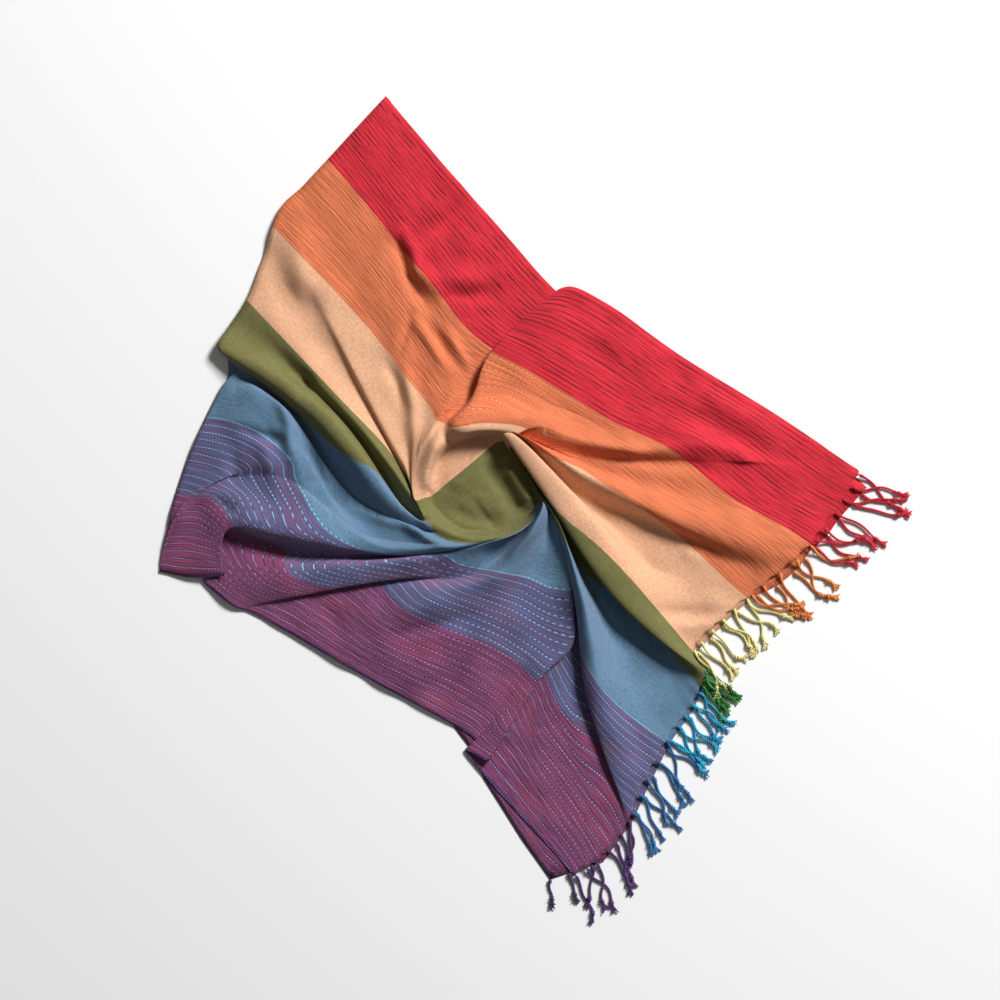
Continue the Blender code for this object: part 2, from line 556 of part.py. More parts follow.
def main():
    for old in list(bpy.data.objects):
        bpy.data.objects.remove(old)
    pieces, grids, shells = [], {}, []
    for name, folds, first_lip, last_lip in STRETCHES:
        grid = panel_grid(folds)
        if shells:
            grid = settle_under(grid, cover_tree(shells))
        grids[name] = grid
        top = grid[..., :3]
        wall = shell(*with_hems(top, underside(top), first_lip, last_lip))
        shells.append(wall)
        pieces.append((name, *wall, PANEL_COLOURS[name]))
    pieces.append(("centre_bowl", *bowl_faces(cover_tree(shells)), "green"))
    pieces.append(("under_layer", *under_faces(), "plum"))
    for band in FRINGES:
        lower = band.edge == "under_layer"
        edge = lower_edge() if lower else upper_edge(grids[band.edge])
        end = "lower" if lower else "upper"
        pieces.append((f"{end}_fringe_{band.colour}", *fringe_faces(edge, band), band.colour))
    places = np.concatenate([vertices for _, vertices, _, _ in pieces])
    low, high = places.min(axis=0), places.max(axis=0)
    centre = np.array([(low[0] + high[0]) / 2, (low[1] + high[1]) / 2, 0])
    for name, vertices, faces, colour in pieces:
        add_piece(name, vertices, faces, colour, centre)


main()
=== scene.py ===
import math
import random

import bpy
import numpy as np
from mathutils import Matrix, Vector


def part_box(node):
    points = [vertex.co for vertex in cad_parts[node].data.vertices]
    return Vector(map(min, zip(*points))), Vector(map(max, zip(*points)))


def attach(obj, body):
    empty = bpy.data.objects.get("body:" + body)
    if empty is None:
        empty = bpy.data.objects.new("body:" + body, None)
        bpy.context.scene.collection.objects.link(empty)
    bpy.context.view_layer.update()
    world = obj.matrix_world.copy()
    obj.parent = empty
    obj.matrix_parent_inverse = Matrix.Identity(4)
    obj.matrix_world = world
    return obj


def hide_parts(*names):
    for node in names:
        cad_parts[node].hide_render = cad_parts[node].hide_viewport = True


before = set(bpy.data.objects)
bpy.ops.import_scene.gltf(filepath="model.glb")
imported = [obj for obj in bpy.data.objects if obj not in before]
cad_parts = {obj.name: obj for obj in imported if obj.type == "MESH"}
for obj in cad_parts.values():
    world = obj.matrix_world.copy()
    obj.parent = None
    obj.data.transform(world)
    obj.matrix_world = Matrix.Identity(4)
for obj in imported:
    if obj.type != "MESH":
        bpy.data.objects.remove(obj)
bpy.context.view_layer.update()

print("frame loaded")

# Plan places are in millimetres from the middle of the picture; the frame says where that middle lies.
leftReach, topReach = -408, 484
planShift = np.array([
    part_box("left_panel")[0][0] * 1000 - leftReach,
    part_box("upper_panel")[1][1] * 1000 - topReach,
    0,
])


# From plan millimetres to the frame's metres
def toFrame(places):
    return (np.asarray(places, dtype=float)[..., :3] + planShift) / 1000


# The weave. Stripes are counted from the red selvedge, and their edges lie this many millimetres down it.
stripeNames = ("red", "orange", "peach", "green", "blue", "periwinkle", "plum")
weave = {
    "edges": (0, 109, 204, 300, 395, 487, 580, 700),
    "halfLength": 850,      # from the fold at the left to the fringe
    "red": (228, 34, 54),
    "orange": (230, 120, 76),
    "peach": (240, 186, 146),
    "green": (118, 118, 64),
    "blue": (98, 142, 174),
    "periwinkle": (96, 92, 136),
    "plum": (134, 66, 110),
    "selvedge": (128, 66, 124),
}


# A colour given in screen values from 0 to 255, as the shader wants it
def linear(colour):
    shares = [part / 255 for part in colour]
    return tuple(s / 12.92 if s <= 0.04045 else ((s + 0.055) / 1.055) ** 2.4 for s in shares) + (1.0,)


def stripeToMm(stripe):
    return np.interp(stripe, range(8), weave["edges"])


# A short way to write the nodes of a tree
class Nodes:

    def __init__(self, tree):
        self.tree = tree

    def add(self, kind, **settings):
        node = self.tree.nodes.new(kind)
        for key, value in settings.items():
            setattr(node, key, value)
        return node

    def feed(self, socket, value):
        if isinstance(value, bpy.types.NodeSocket):
            self.tree.links.new(value, socket)
        else:
            socket.default_value = value

    def fill(self, node, inputs):
        for name, value in inputs.items():
            self.feed(node.inputs[name], value)

    # The first output of a new node with these inputs
    def output(self, kind, inputs):
        node = self.add(kind)
        self.fill(node, inputs)
        return node.outputs[0]

    def calc(self, operation, *values):
        node = self.add("ShaderNodeMath", operation=operation)
        for socket, value in zip(node.inputs, values):
            self.feed(socket, value)
        return node.outputs[0]

    def product(self, first, *others):
        for value in others:
            first = self.calc("MULTIPLY", first, value)
        return first

    def total(self, first, *others):
        for value in others:
            first = self.calc("ADD", first, value)
        return first

    def vector(self, x, y, z=0.0):
        node = self.add("ShaderNodeCombineXYZ")
        for socket, value in zip(node.inputs, (x, y, z)):
            self.feed(socket, value)
        return node.outputs[0]


# The same for a material
class Shader(Nodes):

    def __init__(self, name):
        self.material = bpy.data.materials.new(name)
        self.material.use_nodes = True
        super().__init__(self.material.node_tree)
        self.tree.nodes.clear()
        self.surface = self.add("ShaderNodeBsdfPrincipled")
        output = self.add("ShaderNodeOutputMaterial")
        self.tree.links.new(self.surface.outputs[0], output.inputs[0])

    def parts(self, vector):
        node = self.add("ShaderNodeSeparateXYZ")
        self.tree.links.new(vector, node.inputs[0])
        return node.outputs

    def noise(self, place, scale, detail=2.0, roughness=0.5):
        inputs = {"Vector": place, "Scale": scale, "Detail": detail, "Roughness": roughness}
        return self.output("ShaderNodeTexNoise", inputs)

    # 1 where the value lies between low and high, else 0
    def between(self, value, low, high):
        return self.product(self.calc("GREATER_THAN", value, low), self.calc("LESS_THAN", value, high))

    def spread(self, value, low, high, toLow, toHigh):
        node = self.add("ShaderNodeMapRange")
        for socket, number in zip(node.inputs, (value, low, high, toLow, toHigh)):
            self.feed(socket, number)
        return node.outputs[0]

    def mix(self, share, a, b, blend="MIX"):
        node = self.add("ShaderNodeMix", data_type="RGBA", blend_type=blend)
        for name, value in (("Factor_Float", share), ("A_Color", a), ("B_Color", b)):
            socket = next(s for s in node.inputs if s.identifier == name)
            self.feed(socket, value)
        return next(s for s in node.outputs if s.identifier == "Result_Color")

    def bump(self, height, strength, distance, normal=None):
        inputs = {"Strength": strength, "Distance": distance, "Height": height}
        if normal:
            inputs["Normal"] = normal
        return self.output("ShaderNodeBump", inputs)


# And for cloth, with its places in millimetres along the warp and down from the red selvedge
class ClothShader(Shader):

    def __init__(self, name):
        super().__init__(name)
        uv = self.add("ShaderNodeUVMap", uv_map="weave")
        across, up, _ = self.parts(uv.outputs[0])
        self.along = self.product(across, 1000.0)
        self.down = self.product(up, 1000.0)
        edges = [float(edge) for edge in weave["edges"]]
        self.inStripe = {
            name: self.between(self.down, low, high) for name, low, high in zip(stripeNames, edges, edges[1:])
        }

    # Noise that is drawn out, and changes at one pace along the warp and at another down the cloth
    def grain(self, alongPace, downPace, detail=2.0, roughness=0.5):
        place = self.vector(self.product(self.along, alongPace), self.product(self.down, downPace))
        return self.noise(place, 1.0, detail, roughness)

    # The given share in each stripe that is named, and none in the others
    def byStripe(self, shares):
        return self.total(*(self.product(self.inStripe[name], share) for name, share in shares.items()))

    # How far each place lies from the nearest of a stripe's rows, and the row's number, both in rows
    def fromRow(self, down, stripe, first, spacing):
        start = weave["edges"][stripeNames.index(stripe)] + first
        row = self.calc("DIVIDE", self.calc("SUBTRACT", down, start), spacing)
        number = self.calc("ROUND", row)
        return self.calc("ABSOLUTE", self.calc("SUBTRACT", row, number)), number


# How the cloth looks. Each share says how much of an effect a stripe has.
clothStyle = {
    "dashes": (
        # stripe, first row, row spacing, dash period, dash share, half width, colour, strength
        ("orange", 3.0, 8.2, 2.6, 0.55, 0.38, (252, 200, 130), 0.45),
        ("periwinkle", 1.0, 8.8, 4.3, 0.52, 0.42, (132, 214, 238), 0.88),
        ("plum", 4.0, 9.6, 4.3, 0.52, 0.44, (136, 172, 226), 0.8),
    ),
    "grooves": (
        # stripe, first groove, spacing, half width, strength
        ("red", 2.0, 5.6, 0.9, 0.8),
        ("orange", 3.0, 8.2, 0.9, 0.45),
        ("periwinkle", 1.0, 8.8, 0.9, 0.35),
        ("plum", 4.0, 9.6, 1.0, 0.75),
    ),
    "crinkled": {"red": 0.42, "plum": 0.5, "orange": 0.35, "periwinkle": 0.25},
    "crinkledAnywhere": 0.04,
    "slubbed": {"peach": 0.5, "green": 1.0, "blue": 1.0},
    "ruddy": {"plum": 0.35, "periwinkle": 0.2},
    # painted sheen on sloping cloth
    "paintedSheen": {"blue": 0.25, "periwinkle": 1.0},
    "heatherColour": (196, 128, 96),
    "ruddyColour": (158, 62, 84),
    "paintedSheenColour": (152, 92, 124),
    # painted shade for the troughs of the crinkle streaks
    "shade": (0.02, 0.004, 0.01, 1),            # linear, as the ones below
    "speckleShade": (0.02, 0.01, 0.01, 1),
    "slubShade": (0.08, 0.03, 0.02, 1),
    # painted shade in the grooves
    "grooveShade": (0.015, 0.003, 0.008, 1),
    "threadLight": (1.0, 0.92, 0.86, 1),
    "grooveDarkness": 0.75,
    "redWander": 5.0,           # how far the red stripe's grooves stray
    "borderWaver": 1.2,         # and the stripes' borders
    "selvedgeStart": 0.991,     # as a share of the width
    "threadSpacing": 1.1,
    "surface": {"Roughness": 0.88, "Sheen Weight": 0.06, "Sheen Roughness": 0.45},
}


def stripeColour(s):
    ramp = s.add("ShaderNodeValToRGB")
    ramp.color_ramp.interpolation = "CONSTANT"
    stops = ramp.color_ramp.elements
    width = float(weave["edges"][-1])
    while len(stops) < len(stripeNames) + 1:
        stops.new(1.0)
    for stop, name, edge in zip(stops, stripeNames, weave["edges"]):
        stop.position = edge / width
        stop.color = linear(weave[name])
    stops[len(stripeNames)].position = clothStyle["selvedgeStart"]
    stops[len(stripeNames)].color = linear(weave["selvedge"])
    jitter = s.calc("SUBTRACT", s.grain(0.05, 1.0), 0.5)
    wavering = s.total(s.down, s.product(jitter, clothStyle["borderWaver"]))
    s.feed(ramp.inputs[0], s.calc("DIVIDE", wavering, width))
    return ramp.outputs[0]


# Streaks along the warp with painted shade in their troughs where the cloth is crinkled, lighter threads, and
# specks where the threads cross
def threadsAndCrinkleShade(s, colour, streaks, crinkled):
    # painted shade: the troughs of the crinkle streaks are darkened towards the shade colour
    darker = s.spread(streaks, 0.38, 0.56, 1.0, 0.0)
    colour = s.mix(s.product(darker, s.product(crinkled, 0.6)), colour, clothStyle["shade"])
    lighter = s.spread(s.grain(0.02, 1.1, 1.0), 0.35, 0.7, 0.0, 0.12)
    colour = s.mix(lighter, colour, clothStyle["threadLight"], "SOFT_LIGHT")
    specks = s.spread(s.grain(1.1, 1.5, 1.0), 0.3, 0.6, 0.32, 0.0)
    return s.mix(specks, colour, clothStyle["speckleShade"])


# Uneven yarn both ways in the plain stripes, and how strong it is
def slubColour(s, colour):
    blotches = s.spread(s.grain(0.3, 0.3, 4.0, 0.7), 0.4, 0.65, 0.0, 0.5)
    colour = s.mix(s.product(s.inStripe["peach"], blotches), colour, linear(clothStyle["heatherColour"]))
    warps = s.spread(s.grain(0.1, 1.0), 0.45, 0.62, 0.0, 0.26)
    wefts = s.spread(s.grain(1.0, 0.12), 0.45, 0.62, 0.0, 0.2)
    slubs = s.product(s.byStripe(clothStyle["slubbed"]), s.total(warps, wefts))
    return s.mix(slubs, colour, clothStyle["slubShade"]), slubs


# Ruddy clouds in the plum, and a painted mauve sheen laid on the blue and periwinkle cloth where it slopes
def cloudsAndPaintedSheen(s, colour, streaks):
    clouds = s.spread(s.grain(0.012, 0.02), 0.5, 0.68, 0.0, 1.0)
    ruddy = s.product(s.byStripe(clothStyle["ruddy"]), clouds)
    colour = s.mix(ruddy, colour, linear(clothStyle["ruddyColour"]))
    # painted sheen: the steeper the cloth, the more mauve is mixed in
    upwards = s.parts(s.add("ShaderNodeNewGeometry").outputs["Normal"])[2]
    leaning = s.spread(s.calc("ABSOLUTE", upwards), 0.97, 0.7, 0.0, 0.4)
    paintedSheen = s.product(s.byStripe(clothStyle["paintedSheen"]), leaning, s.spread(streaks, 0.35, 0.62, 1.3, 0.3))
    return s.mix(paintedSheen, colour, linear(clothStyle["paintedSheenColour"]))


# Pulled rows in the crinkled stripes, darkened with painted shade in their grooves, and how deep they are
def paintedGrooveShade(s, colour):
    sunk = 0.0
    wander = s.product(s.calc("SUBTRACT", s.grain(0.006, 0.3), 0.5), clothStyle["redWander"])
    for stripe, first, spacing, halfWidth, strength in clothStyle["grooves"]:
        strayed = s.total(s.down, wander) if stripe == "red" else s.down
        offset, _ = s.fromRow(strayed, stripe, first, spacing)
        profile = s.spread(offset, 0.0, halfWidth / spacing * 1.6, 1.0, 0.0)
        broken = s.spread(s.grain(0.035, 0.11), 0.4, 0.6, 0.15, 1.0)
        sunk = s.total(sunk, s.product(s.product(profile, broken), s.product(s.inStripe[stripe], strength)))
    # painted shade: the grooves darken the colour towards the groove shade
    return s.mix(s.product(sunk, clothStyle["grooveDarkness"]), colour, clothStyle["grooveShade"]), sunk


# Rows of woven dashes, each started at its own place, and where they are raised
def dashColour(s, colour):
    raised = 0.0
    for stripe, first, spacing, period, share, halfWidth, dash, strength in clothStyle["dashes"]:
        offset, number = s.fromRow(s.down, stripe, first, spacing)
        chance = s.add("ShaderNodeTexWhiteNoise", noise_dimensions="1D")
        s.feed(chance.inputs["W"], number)
        turn = s.total(s.calc("DIVIDE", s.along, period), chance.outputs["Value"])
        onRow = s.calc("LESS_THAN", offset, halfWidth / spacing)
        onDash = s.calc("LESS_THAN", s.calc("FRACT", turn), share)
        mark = s.product(onRow, onDash, s.inStripe[stripe])
        colour = s.mix(s.product(mark, strength), colour, linear(dash))
        raised = s.total(raised, mark)
    return colour, raised


# Seven stripes with woven dashes along the warp, crinkled threads with painted shade in their troughs and
# grooves, a painted sheen on sloping blue and periwinkle cloth and a fine plain weave
def clothMaterial():
    s = ClothShader("handwoven_cotton")
    streaks = s.grain(0.026, 0.4, 3.0, 0.65)
    crinkled = s.total(s.byStripe(clothStyle["crinkled"]), clothStyle["crinkledAnywhere"])
    colour = threadsAndCrinkleShade(s, stripeColour(s), streaks, crinkled)
    colour, slubs = slubColour(s, colour)
    colour = cloudsAndPaintedSheen(s, colour, streaks)
    colour, sunk = paintedGrooveShade(s, colour)
    colour, raised = dashColour(s, colour)
    pitch = 2 * math.pi / clothStyle["threadSpacing"]
    warp = s.calc("SINE", s.product(s.down, pitch))
    weft = s.calc("SINE", s.product(s.along, pitch))
    plain = s.total(s.product(warp, weft), s.product(raised, 1.5))
    fine = s.bump(s.calc("SUBTRACT", plain, s.product(slubs, 6.0)), 0.35, 0.0003)
    crinkle = s.product(streaks, s.total(crinkled, 0.03))
    crinkle = s.calc("SUBTRACT", crinkle, s.product(sunk, 0.2))
    s.fill(s.surface, {"Base Color": colour, "Normal": s.bump(crinkle, 0.8, 0.005, fine)})
    s.fill(s.surface, clothStyle["surface"])
    return s.material


# Twisted cotton yarn in one warp colour, with lighter and darker fibres
def yarnMaterial(name, colour, tint):
    s = Shader(name)
    place = s.add("ShaderNodeTexCoord").outputs["Object"]
    fibres = s.noise(place, 900.0, 3.0, 0.7)
    patches = s.noise(place, 60.0, 2.0)
    base = s.mix(s.spread(patches, 0.35, 0.65, 0.0, 1.0), linear(colour), linear(tint))
    base = s.mix(s.spread(fibres, 0.3, 0.6, 0.35, 0.0), base, (0.01, 0.005, 0.01, 1))
    s.fill(s.surface, {"Base Color": base, "Normal": s.bump(fibres, 0.5, 0.0006)})
    s.fill(s.surface, {"Roughness": 0.92, "Sheen Weight": 0.1})
    return s.material


clothPaint = clothMaterial()
print("materials made")

# The upper cloth. Every fold line runs from the rim of the twist out to the scarf's edge. Each place on it
# is across, up and high in millimetres, and the stripe that lies there. They go clockwise from the notch at
# the top.
upperCloth = {
    "pole": (-22, 12, 11, 3.5),
    "shares": {"bowl": 0.12, "curl": 0.15, "rim": 0.19, "near": 0.42, "far": 0.72, "turn": 0.86, "edge": 1.0},
    "rimPull": 0.1,                 # how far the rims are drawn to even bearings
    "rimPasses": 4,
    "bowlReach": 0.79,
    "bowlFloor": 10.0,
    "curlReach": 0.87,
    "curlStripe": 0.1,              # how much of the rim's stripe the curl takes
    "rolledStripe": 0.65,           # and how much where the rim is rolled
    "rolledReach": 0.5,
    "lift": 1.3,                    # how much higher the folds stand than the heights below say
    "bowlEdge": (-44, 37),          # a place on the green stripe's upper edge in the bowl
    "bowlDown": (0.64, -0.77),      # and which way the stripes follow each other there
    "cornerShare": 0.10,
    "spacing": 6.4,
    "rows": 88,
    "rowPace": 0.92,                # below 1 the rows lie closer together at the edge
    "spanAt": 0.7,                  # besides the edge, the share of the rows where columns are spaced
    "thickness": 0.8,
    "lowest": 2.9,
}

# name, rim, near, far and edge, then a turn near the edge, "corner" where the outline turns sharply, and
# "rolled" where the rim is a broad roll
upperFolds = (
    ("notch turn", (-64, 77, 20, 2.22), (-40, 118, 7, 1.70), (14, 170, 5, 1.00), (88, 229, 4, 0.0), "rolled"),
    ("notch lip", (-52, 83, 29, 2.08), (-33, 120, 19, 1.65), (-10, 178, 15, 1.00), (65, 247, 12, 0.0),
     "rolled"),
    ("red rise", (-24, 89, 30, 2.06), (0, 128, 13, 1.55), (22, 162, 11, 1.00), (82, 255, 13, 0.0), "rolled"),
    ("red inner", (4, 89, 30, 2.06), (50, 112, 12, 1.45), (78, 129, 9, 1.00), (125, 237, 7, 0.0), "rolled"),
    ("red outer", (20, 87, 29, 2.06), (92, 95, 12, 1.35), (140, 92, 9, 1.00), (215, 174, 5, 0.0), "rolled"),
    ("orange crest", (30, 83, 28, 2.06), (98, 72, 17, 1.65), (180, 60, 11, 1.15), (335, 100, 4, 0.0),
     "rolled"),
    ("orange hollow", (12, 77, 17, 2.35), (95, 52, 11, 1.85), (212, 47, 7, 1.07), (430, 35, 4, 0.0),
     "corner"),
    ("orange flat", (10, 77, 16, 2.35), (105, 40, 9, 1.90), (250, 0, 7, 1.20), (400, -15, 4, 0.55)),
    ("long crest", (8, 78, 23, 2.40), (100, 31, 21, 2.07), (215, -27, 19, 1.85), (352, -71, 9, 1.25)),
    ("long foot", (9, 75, 14, 2.50), (92, 14, 6, 2.35), (228, -53, 5, 2.00), (325, -93, 4, 1.60)),
    ("peach flat", (10, 73, 13, 2.60), (112, -18, 6, 2.65), (200, -92, 5, 2.47), (268, -139, 4, 2.40)),
    ("flap shoulder", (9, 75, 21, 2.62), (72, 20, 27, 2.75), (152, -89, 24, 3.00), (231, -181, 7, 3.00)),
    ("flap lip", (5, 73, 20, 2.75), (50, 10, 25, 2.97), (138, -119, 24, 3.40), (245, -206, 14, 3.50)),
    ("flap turn", (14, 57, 8, 3.00), (62, 16, 6, 3.25), (151, -110, 5, 3.75), (241, -217, 9, 3.90)),
    ("deep valley", (40, 22, 9, 3.40), (84, -50, 6, 3.80), (160, -170, 4, 4.30), (228, -246, 4, 4.35)),
    ("blue slope", (48, 8, 11, 3.65), (100, -92, 10, 4.12), (152, -212, 6, 4.65), (200, -285, 4, 4.97)),
    ("blue crest", (54, -2, 18, 3.80), (96, -108, 24, 4.35), (120, -238, 20, 5.15), (168, -345, 6, 5.70)),
    ("blue lip", (55, -8, 16, 3.90), (86, -106, 14, 4.55), (104, -238, 12, 5.40), (154, -380, 5, 6.08)),
    ("blue turn", (60, -12, 8, 4.00), (98, -125, 5, 4.90), (118, -246, 4, 5.75), (151, -389, 4, 6.20)),
    ("plum floor", (58, -16, 7, 4.15), (92, -160, 4.5, 5.30), (86, -262, 4, 6.00), (118, -429, 3.5, 6.60)),
    ("plum tip", (56, -18, 7, 4.20), (86, -160, 4.5, 5.40), (48, -300, 4, 6.45), (88, -449, 3.5, 7.0),
     "corner"),
    ("panel turn", (54, -19, 8, 4.25), (74, -150, 4.5, 5.45), (27, -224, 4, 6.30), (-42, -300, 3.5, 7.0)),
    ("panel lip", (55, -13, 15, 4.15), (90, -148, 11, 5.35), (48, -215, 10, 6.00), (-14, -313, 8, 7.0)),
    ("panel hollow", (53, -14, 13, 4.20), (60, -118, 8, 5.12), (30, -192, 6, 5.95), (-32, -286, 3.4, 7.0)),
    ("panel flat", (52, -12, 13, 4.20), (34, -94, 10, 5.02), (-12, -172, 8, 6.00), (-70, -262, 3.2, 7.0)),
    ("cord crest", (47, -4, 23, 4.12), (9, -84, 21, 4.97), (-110, -127, 14, 5.97), (-158, -214, 5, 7.0)),
    ("roll foot", (44, -12, 16, 4.07), (-28, -84, 10, 5.05), (-150, -97, 6, 6.00), (-300, -134, 3.2, 7.0)),
    ("roll lip", (36, -23, 18, 3.99), (-45, -74, 15, 4.97), (-185, -103, 12, 5.93), (-318, -128, 4, 7.0)),
    ("roll crest", (22, -34, 20, 3.92), (-60, -63, 22, 4.95), (-195, -83, 17, 5.60), (-340, -112, 5, 7.0)),
    ("roll hollow", (5, -40, 20, 3.88), (-90, -62, 8, 4.80), (-235, -64, 5, 5.90), (-356, -96, 4, 7.0),
     (-342, -45, 4, 6.5)),
    ("left lip", (-12, -43, 21, 3.85), (-110, -66, 16, 4.78), (-264, -38, 25, 5.45), (-329, -90, 10, 7.0),
     (-322, -32, 18, 6.1)),
    ("left panel", (-24, -44, 21, 3.83), (-125, -58, 20, 4.70), (-250, -10, 18, 5.20), (-370, -93, 5, 7.0),
     (-345, 3, 11, 6.0)),
    ("left corner", (-34, -44, 21, 3.81), (-150, -45, 12, 4.55), (-285, 30, 12, 5.30), (-408, -86, 3.2, 7.0),
     (-372, 5, 6, 6.0), "corner"),
    ("left side", (-44, -43, 21, 3.79), (-170, -25, 8, 4.45), (-248, 48, 17, 5.00), (-388, 10, 3.2, 6.0)),
    ("blue shoulder", (-53, -40, 21, 3.77), (-185, -5, 6, 4.40), (-255, 80, 19, 4.80), (-352, 100, 4, 5.0)),
    ("blue lobe", (-60, -36, 21, 3.75), (-172, 0, 5, 4.35), (-259, 112, 18, 4.55), (-328, 143, 5, 4.55)),
    ("dark valley", (-66, -32, 21, 3.73), (-150, -18, 4, 4.30), (-242, 95, 3, 4.20), (-314, 157, 6, 4.15)),
    ("green lip", (-72, -27, 21, 3.70), (-118, -18, 21, 4.22), (-222, 97, 27, 3.85), (-330, 172, 11, 3.85)),
    ("green crest", (-77, -22, 21, 3.64), (-112, -12, 23, 4.15), (-215, 112, 28, 3.70),
     (-338, 183, 12, 3.65)),
    ("green gully", (-81, -18, 19, 3.55), (-108, -17, 7, 4.00), (-188, 97, 7, 3.55), (-322, 212, 6, 3.35)),
    ("rim crest", (-85, -14, 19, 3.42), (-95, -10, 18, 3.45), (-165, 85, 19, 3.12), (-303, 240, 5, 3.0)),
    ("peach gully", (-88, -10, 16, 3.30), (-103, 10, 8, 3.10), (-160, 108, 8, 2.85), (-285, 287, 5, 2.45)),
    ("peach crest", (-91, -5, 16, 3.15), (-118, 50, 13, 2.85), (-190, 190, 11, 2.40), (-262, 351, 6, 1.75)),
    ("peach hollow", (-94, 0, 17, 3.02), (-112, 65, 10, 2.60), (-145, 165, 8, 2.20), (-235, 378, 4, 1.40)),
    ("peach fold", (-96, 18, 20, 2.85), (-103, 90, 13, 2.35), (-125, 200, 9, 1.75), (-185, 432, 4, 0.70),
     "rolled"),
    ("top corner", (-92, 42, 23, 2.60), (-88, 112, 11, 2.05), (-115, 255, 8, 1.28), (-137, 484, 4, 0.0),
     "corner", "rolled"),
    ("orange hump", (-86, 57, 25, 2.45), (-70, 122, 12, 1.78), (-85, 235, 8, 1.18), (-60, 393, 5, 0.0),
     "rolled"),
    ("red left", (-80, 66, 26, 2.35), (-57, 126, 12, 1.68), (-45, 212, 8, 1.00), (5, 320, 4, 0.0), "rolled"),
    ("red tuck", (-74, 72, 24, 2.30), (-47, 126, 9, 1.62), (-15, 188, 6, 0.98), (50, 268, 4, 0.0), "rolled"),
)


# The middle of the twist turned with its cloth unstretched, so its stripes stay straight
def bowlStripe(place):
    past = np.dot(place[:2] - np.array(upperCloth["bowlEdge"]), upperCloth["bowlDown"])
    return 3 + past / (weave["edges"][4] - weave["edges"][3])


# Each value of a ring blended with its neighbours
def blended(ring):
    return (np.roll(ring, 1) + 2 * ring + np.roll(ring, -1)) / 4


# The rims without their overlaps: bearings that only go clockwise, and an even reach
def evenRims():
    pole = np.array(upperCloth["pole"][:2])
    out = np.array([fold[1][:2] for fold in upperFolds]) - pole
    bearing = np.unwrap(np.arctan2(out[:, 1], out[:, 0]))
    turn = np.linspace(bearing[0], bearing[0] - 2 * math.pi, len(bearing), endpoint=False)
    ahead = np.minimum.accumulate(bearing)
    behind = np.maximum.accumulate(bearing[::-1])[::-1]
    pull = upperCloth["rimPull"]
    steady = (1 - pull) * (ahead + behind) / 2 + pull * turn
    reach = np.linalg.norm(out, axis=1)
    for _ in range(upperCloth["rimPasses"]):
        steady = turn + blended(steady - turn)
        reach = blended(reach)
    return pole + reach[:, None] * np.stack([np.cos(steady), np.sin(steady)], axis=1)


# From 0 to 1 with a soft start and end
def ease(share):
    return share * share * (3 - 2 * share)


# A curve from a to b at the shares in u, with the slopes that it leaves and arrives with
def bend(a, b, leave, arrive, u):
    rise = ease(u)
    return a * (1 - rise) + b * rise + leave * u * (1 - u) ** 2 + arrive * u * u * (u - 1)


# Reads a fold line, from the pole to the edge, at the shares in at; even is where it would meet an even rim
def alongFold(fold, even, at):
    _, rim, near, far, edge, *rest = fold
    turn = next((extra for extra in rest if not isinstance(extra, str)), None)
    shares = upperCloth["shares"]
    pole = np.array(upperCloth["pole"], dtype=float)
    pole[3] = bowlStripe(pole)
    bowl, curl = pole.copy(), pole.copy()
    bowl[:2] += upperCloth["bowlReach"] * (even - pole[:2])
    bowl[2] = upperCloth["bowlFloor"]
    bowl[3] = bowlStripe(bowl)
    rolled = "rolled" in fold
    rimmost = even + upperCloth["rolledReach"] * (rim[:2] - even) if rolled else even
    curl[:2] += upperCloth["curlReach"] * (rimmost - pole[:2])
    curl[2] = rim[2] - 1 if rolled else bowl[2]
    rimStripe = upperCloth["rolledStripe" if rolled else "curlStripe"]
    curl[3] = bowlStripe(curl) + rimStripe * (rim[3] - bowlStripe(curl))
    stations = [(0.0, pole), (shares["bowl"], bowl), (shares["curl"], curl), (shares["rim"], rim)]
    stations += [(shares["near"], near), (shares["far"], far)]
    if turn:
        stations.append((shares["turn"], turn))
    stations.append((shares["edge"], edge))
    knots = np.array([share for share, _ in stations])
    points = np.array([place for _, place in stations], dtype=float)
    steps = np.diff(knots)[:, None]
    pace = np.diff(points, axis=0) / steps
    slopes = np.empty_like(points)
    slopes[1:-1] = (pace[:-1] * steps[1:] + pace[1:] * steps[:-1]) / (steps[:-1] + steps[1:])
    slopes[0] = 2 * pace[0] - slopes[1]
    slopes[-1] = 2 * pace[-1] - slopes[-2]
    i = np.clip(np.searchsorted(knots, at, side="right") - 1, 0, len(knots) - 2)
    u = ((at - knots[i]) / steps[i, 0])[:, None]
    line = bend(points[i], points[i + 1], steps[i] * slopes[i], steps[i] * slopes[i + 1], u)
    inBowl = at < shares["bowl"]
    line[inBowl] = pole + (bowl - pole) * (at[inBowl] / shares["bowl"])[:, None]
    return line


# A smooth closed ring through points, with counts[i] steps from the ith point to the next
def roundTheRing(points, counts):
    after, before, beyond = np.roll(points, -1, 0), np.roll(points, 1, 0), np.roll(points, -2, 0)

    def gap(a, b):
        return np.sqrt(np.maximum(np.linalg.norm((b - a)[:, :3], axis=1), 1e-3))[:, None]

    step, last, coming = gap(points, after), gap(before, points), gap(after, beyond)
    pace = (after - points) / step
    leave = ((points - before) / last - (after - before) / (last + step) + pace) * step
    arrive = (pace - (beyond - points) / (step + coming) + (beyond - after) / coming) * step
    ring = []
    for i, count in enumerate(counts):
        u = (np.arange(count) / count)[:, None]
        ring.append(bend(points[i], after[i], leave[i], arrive[i], u))
    return np.concatenate(ring)


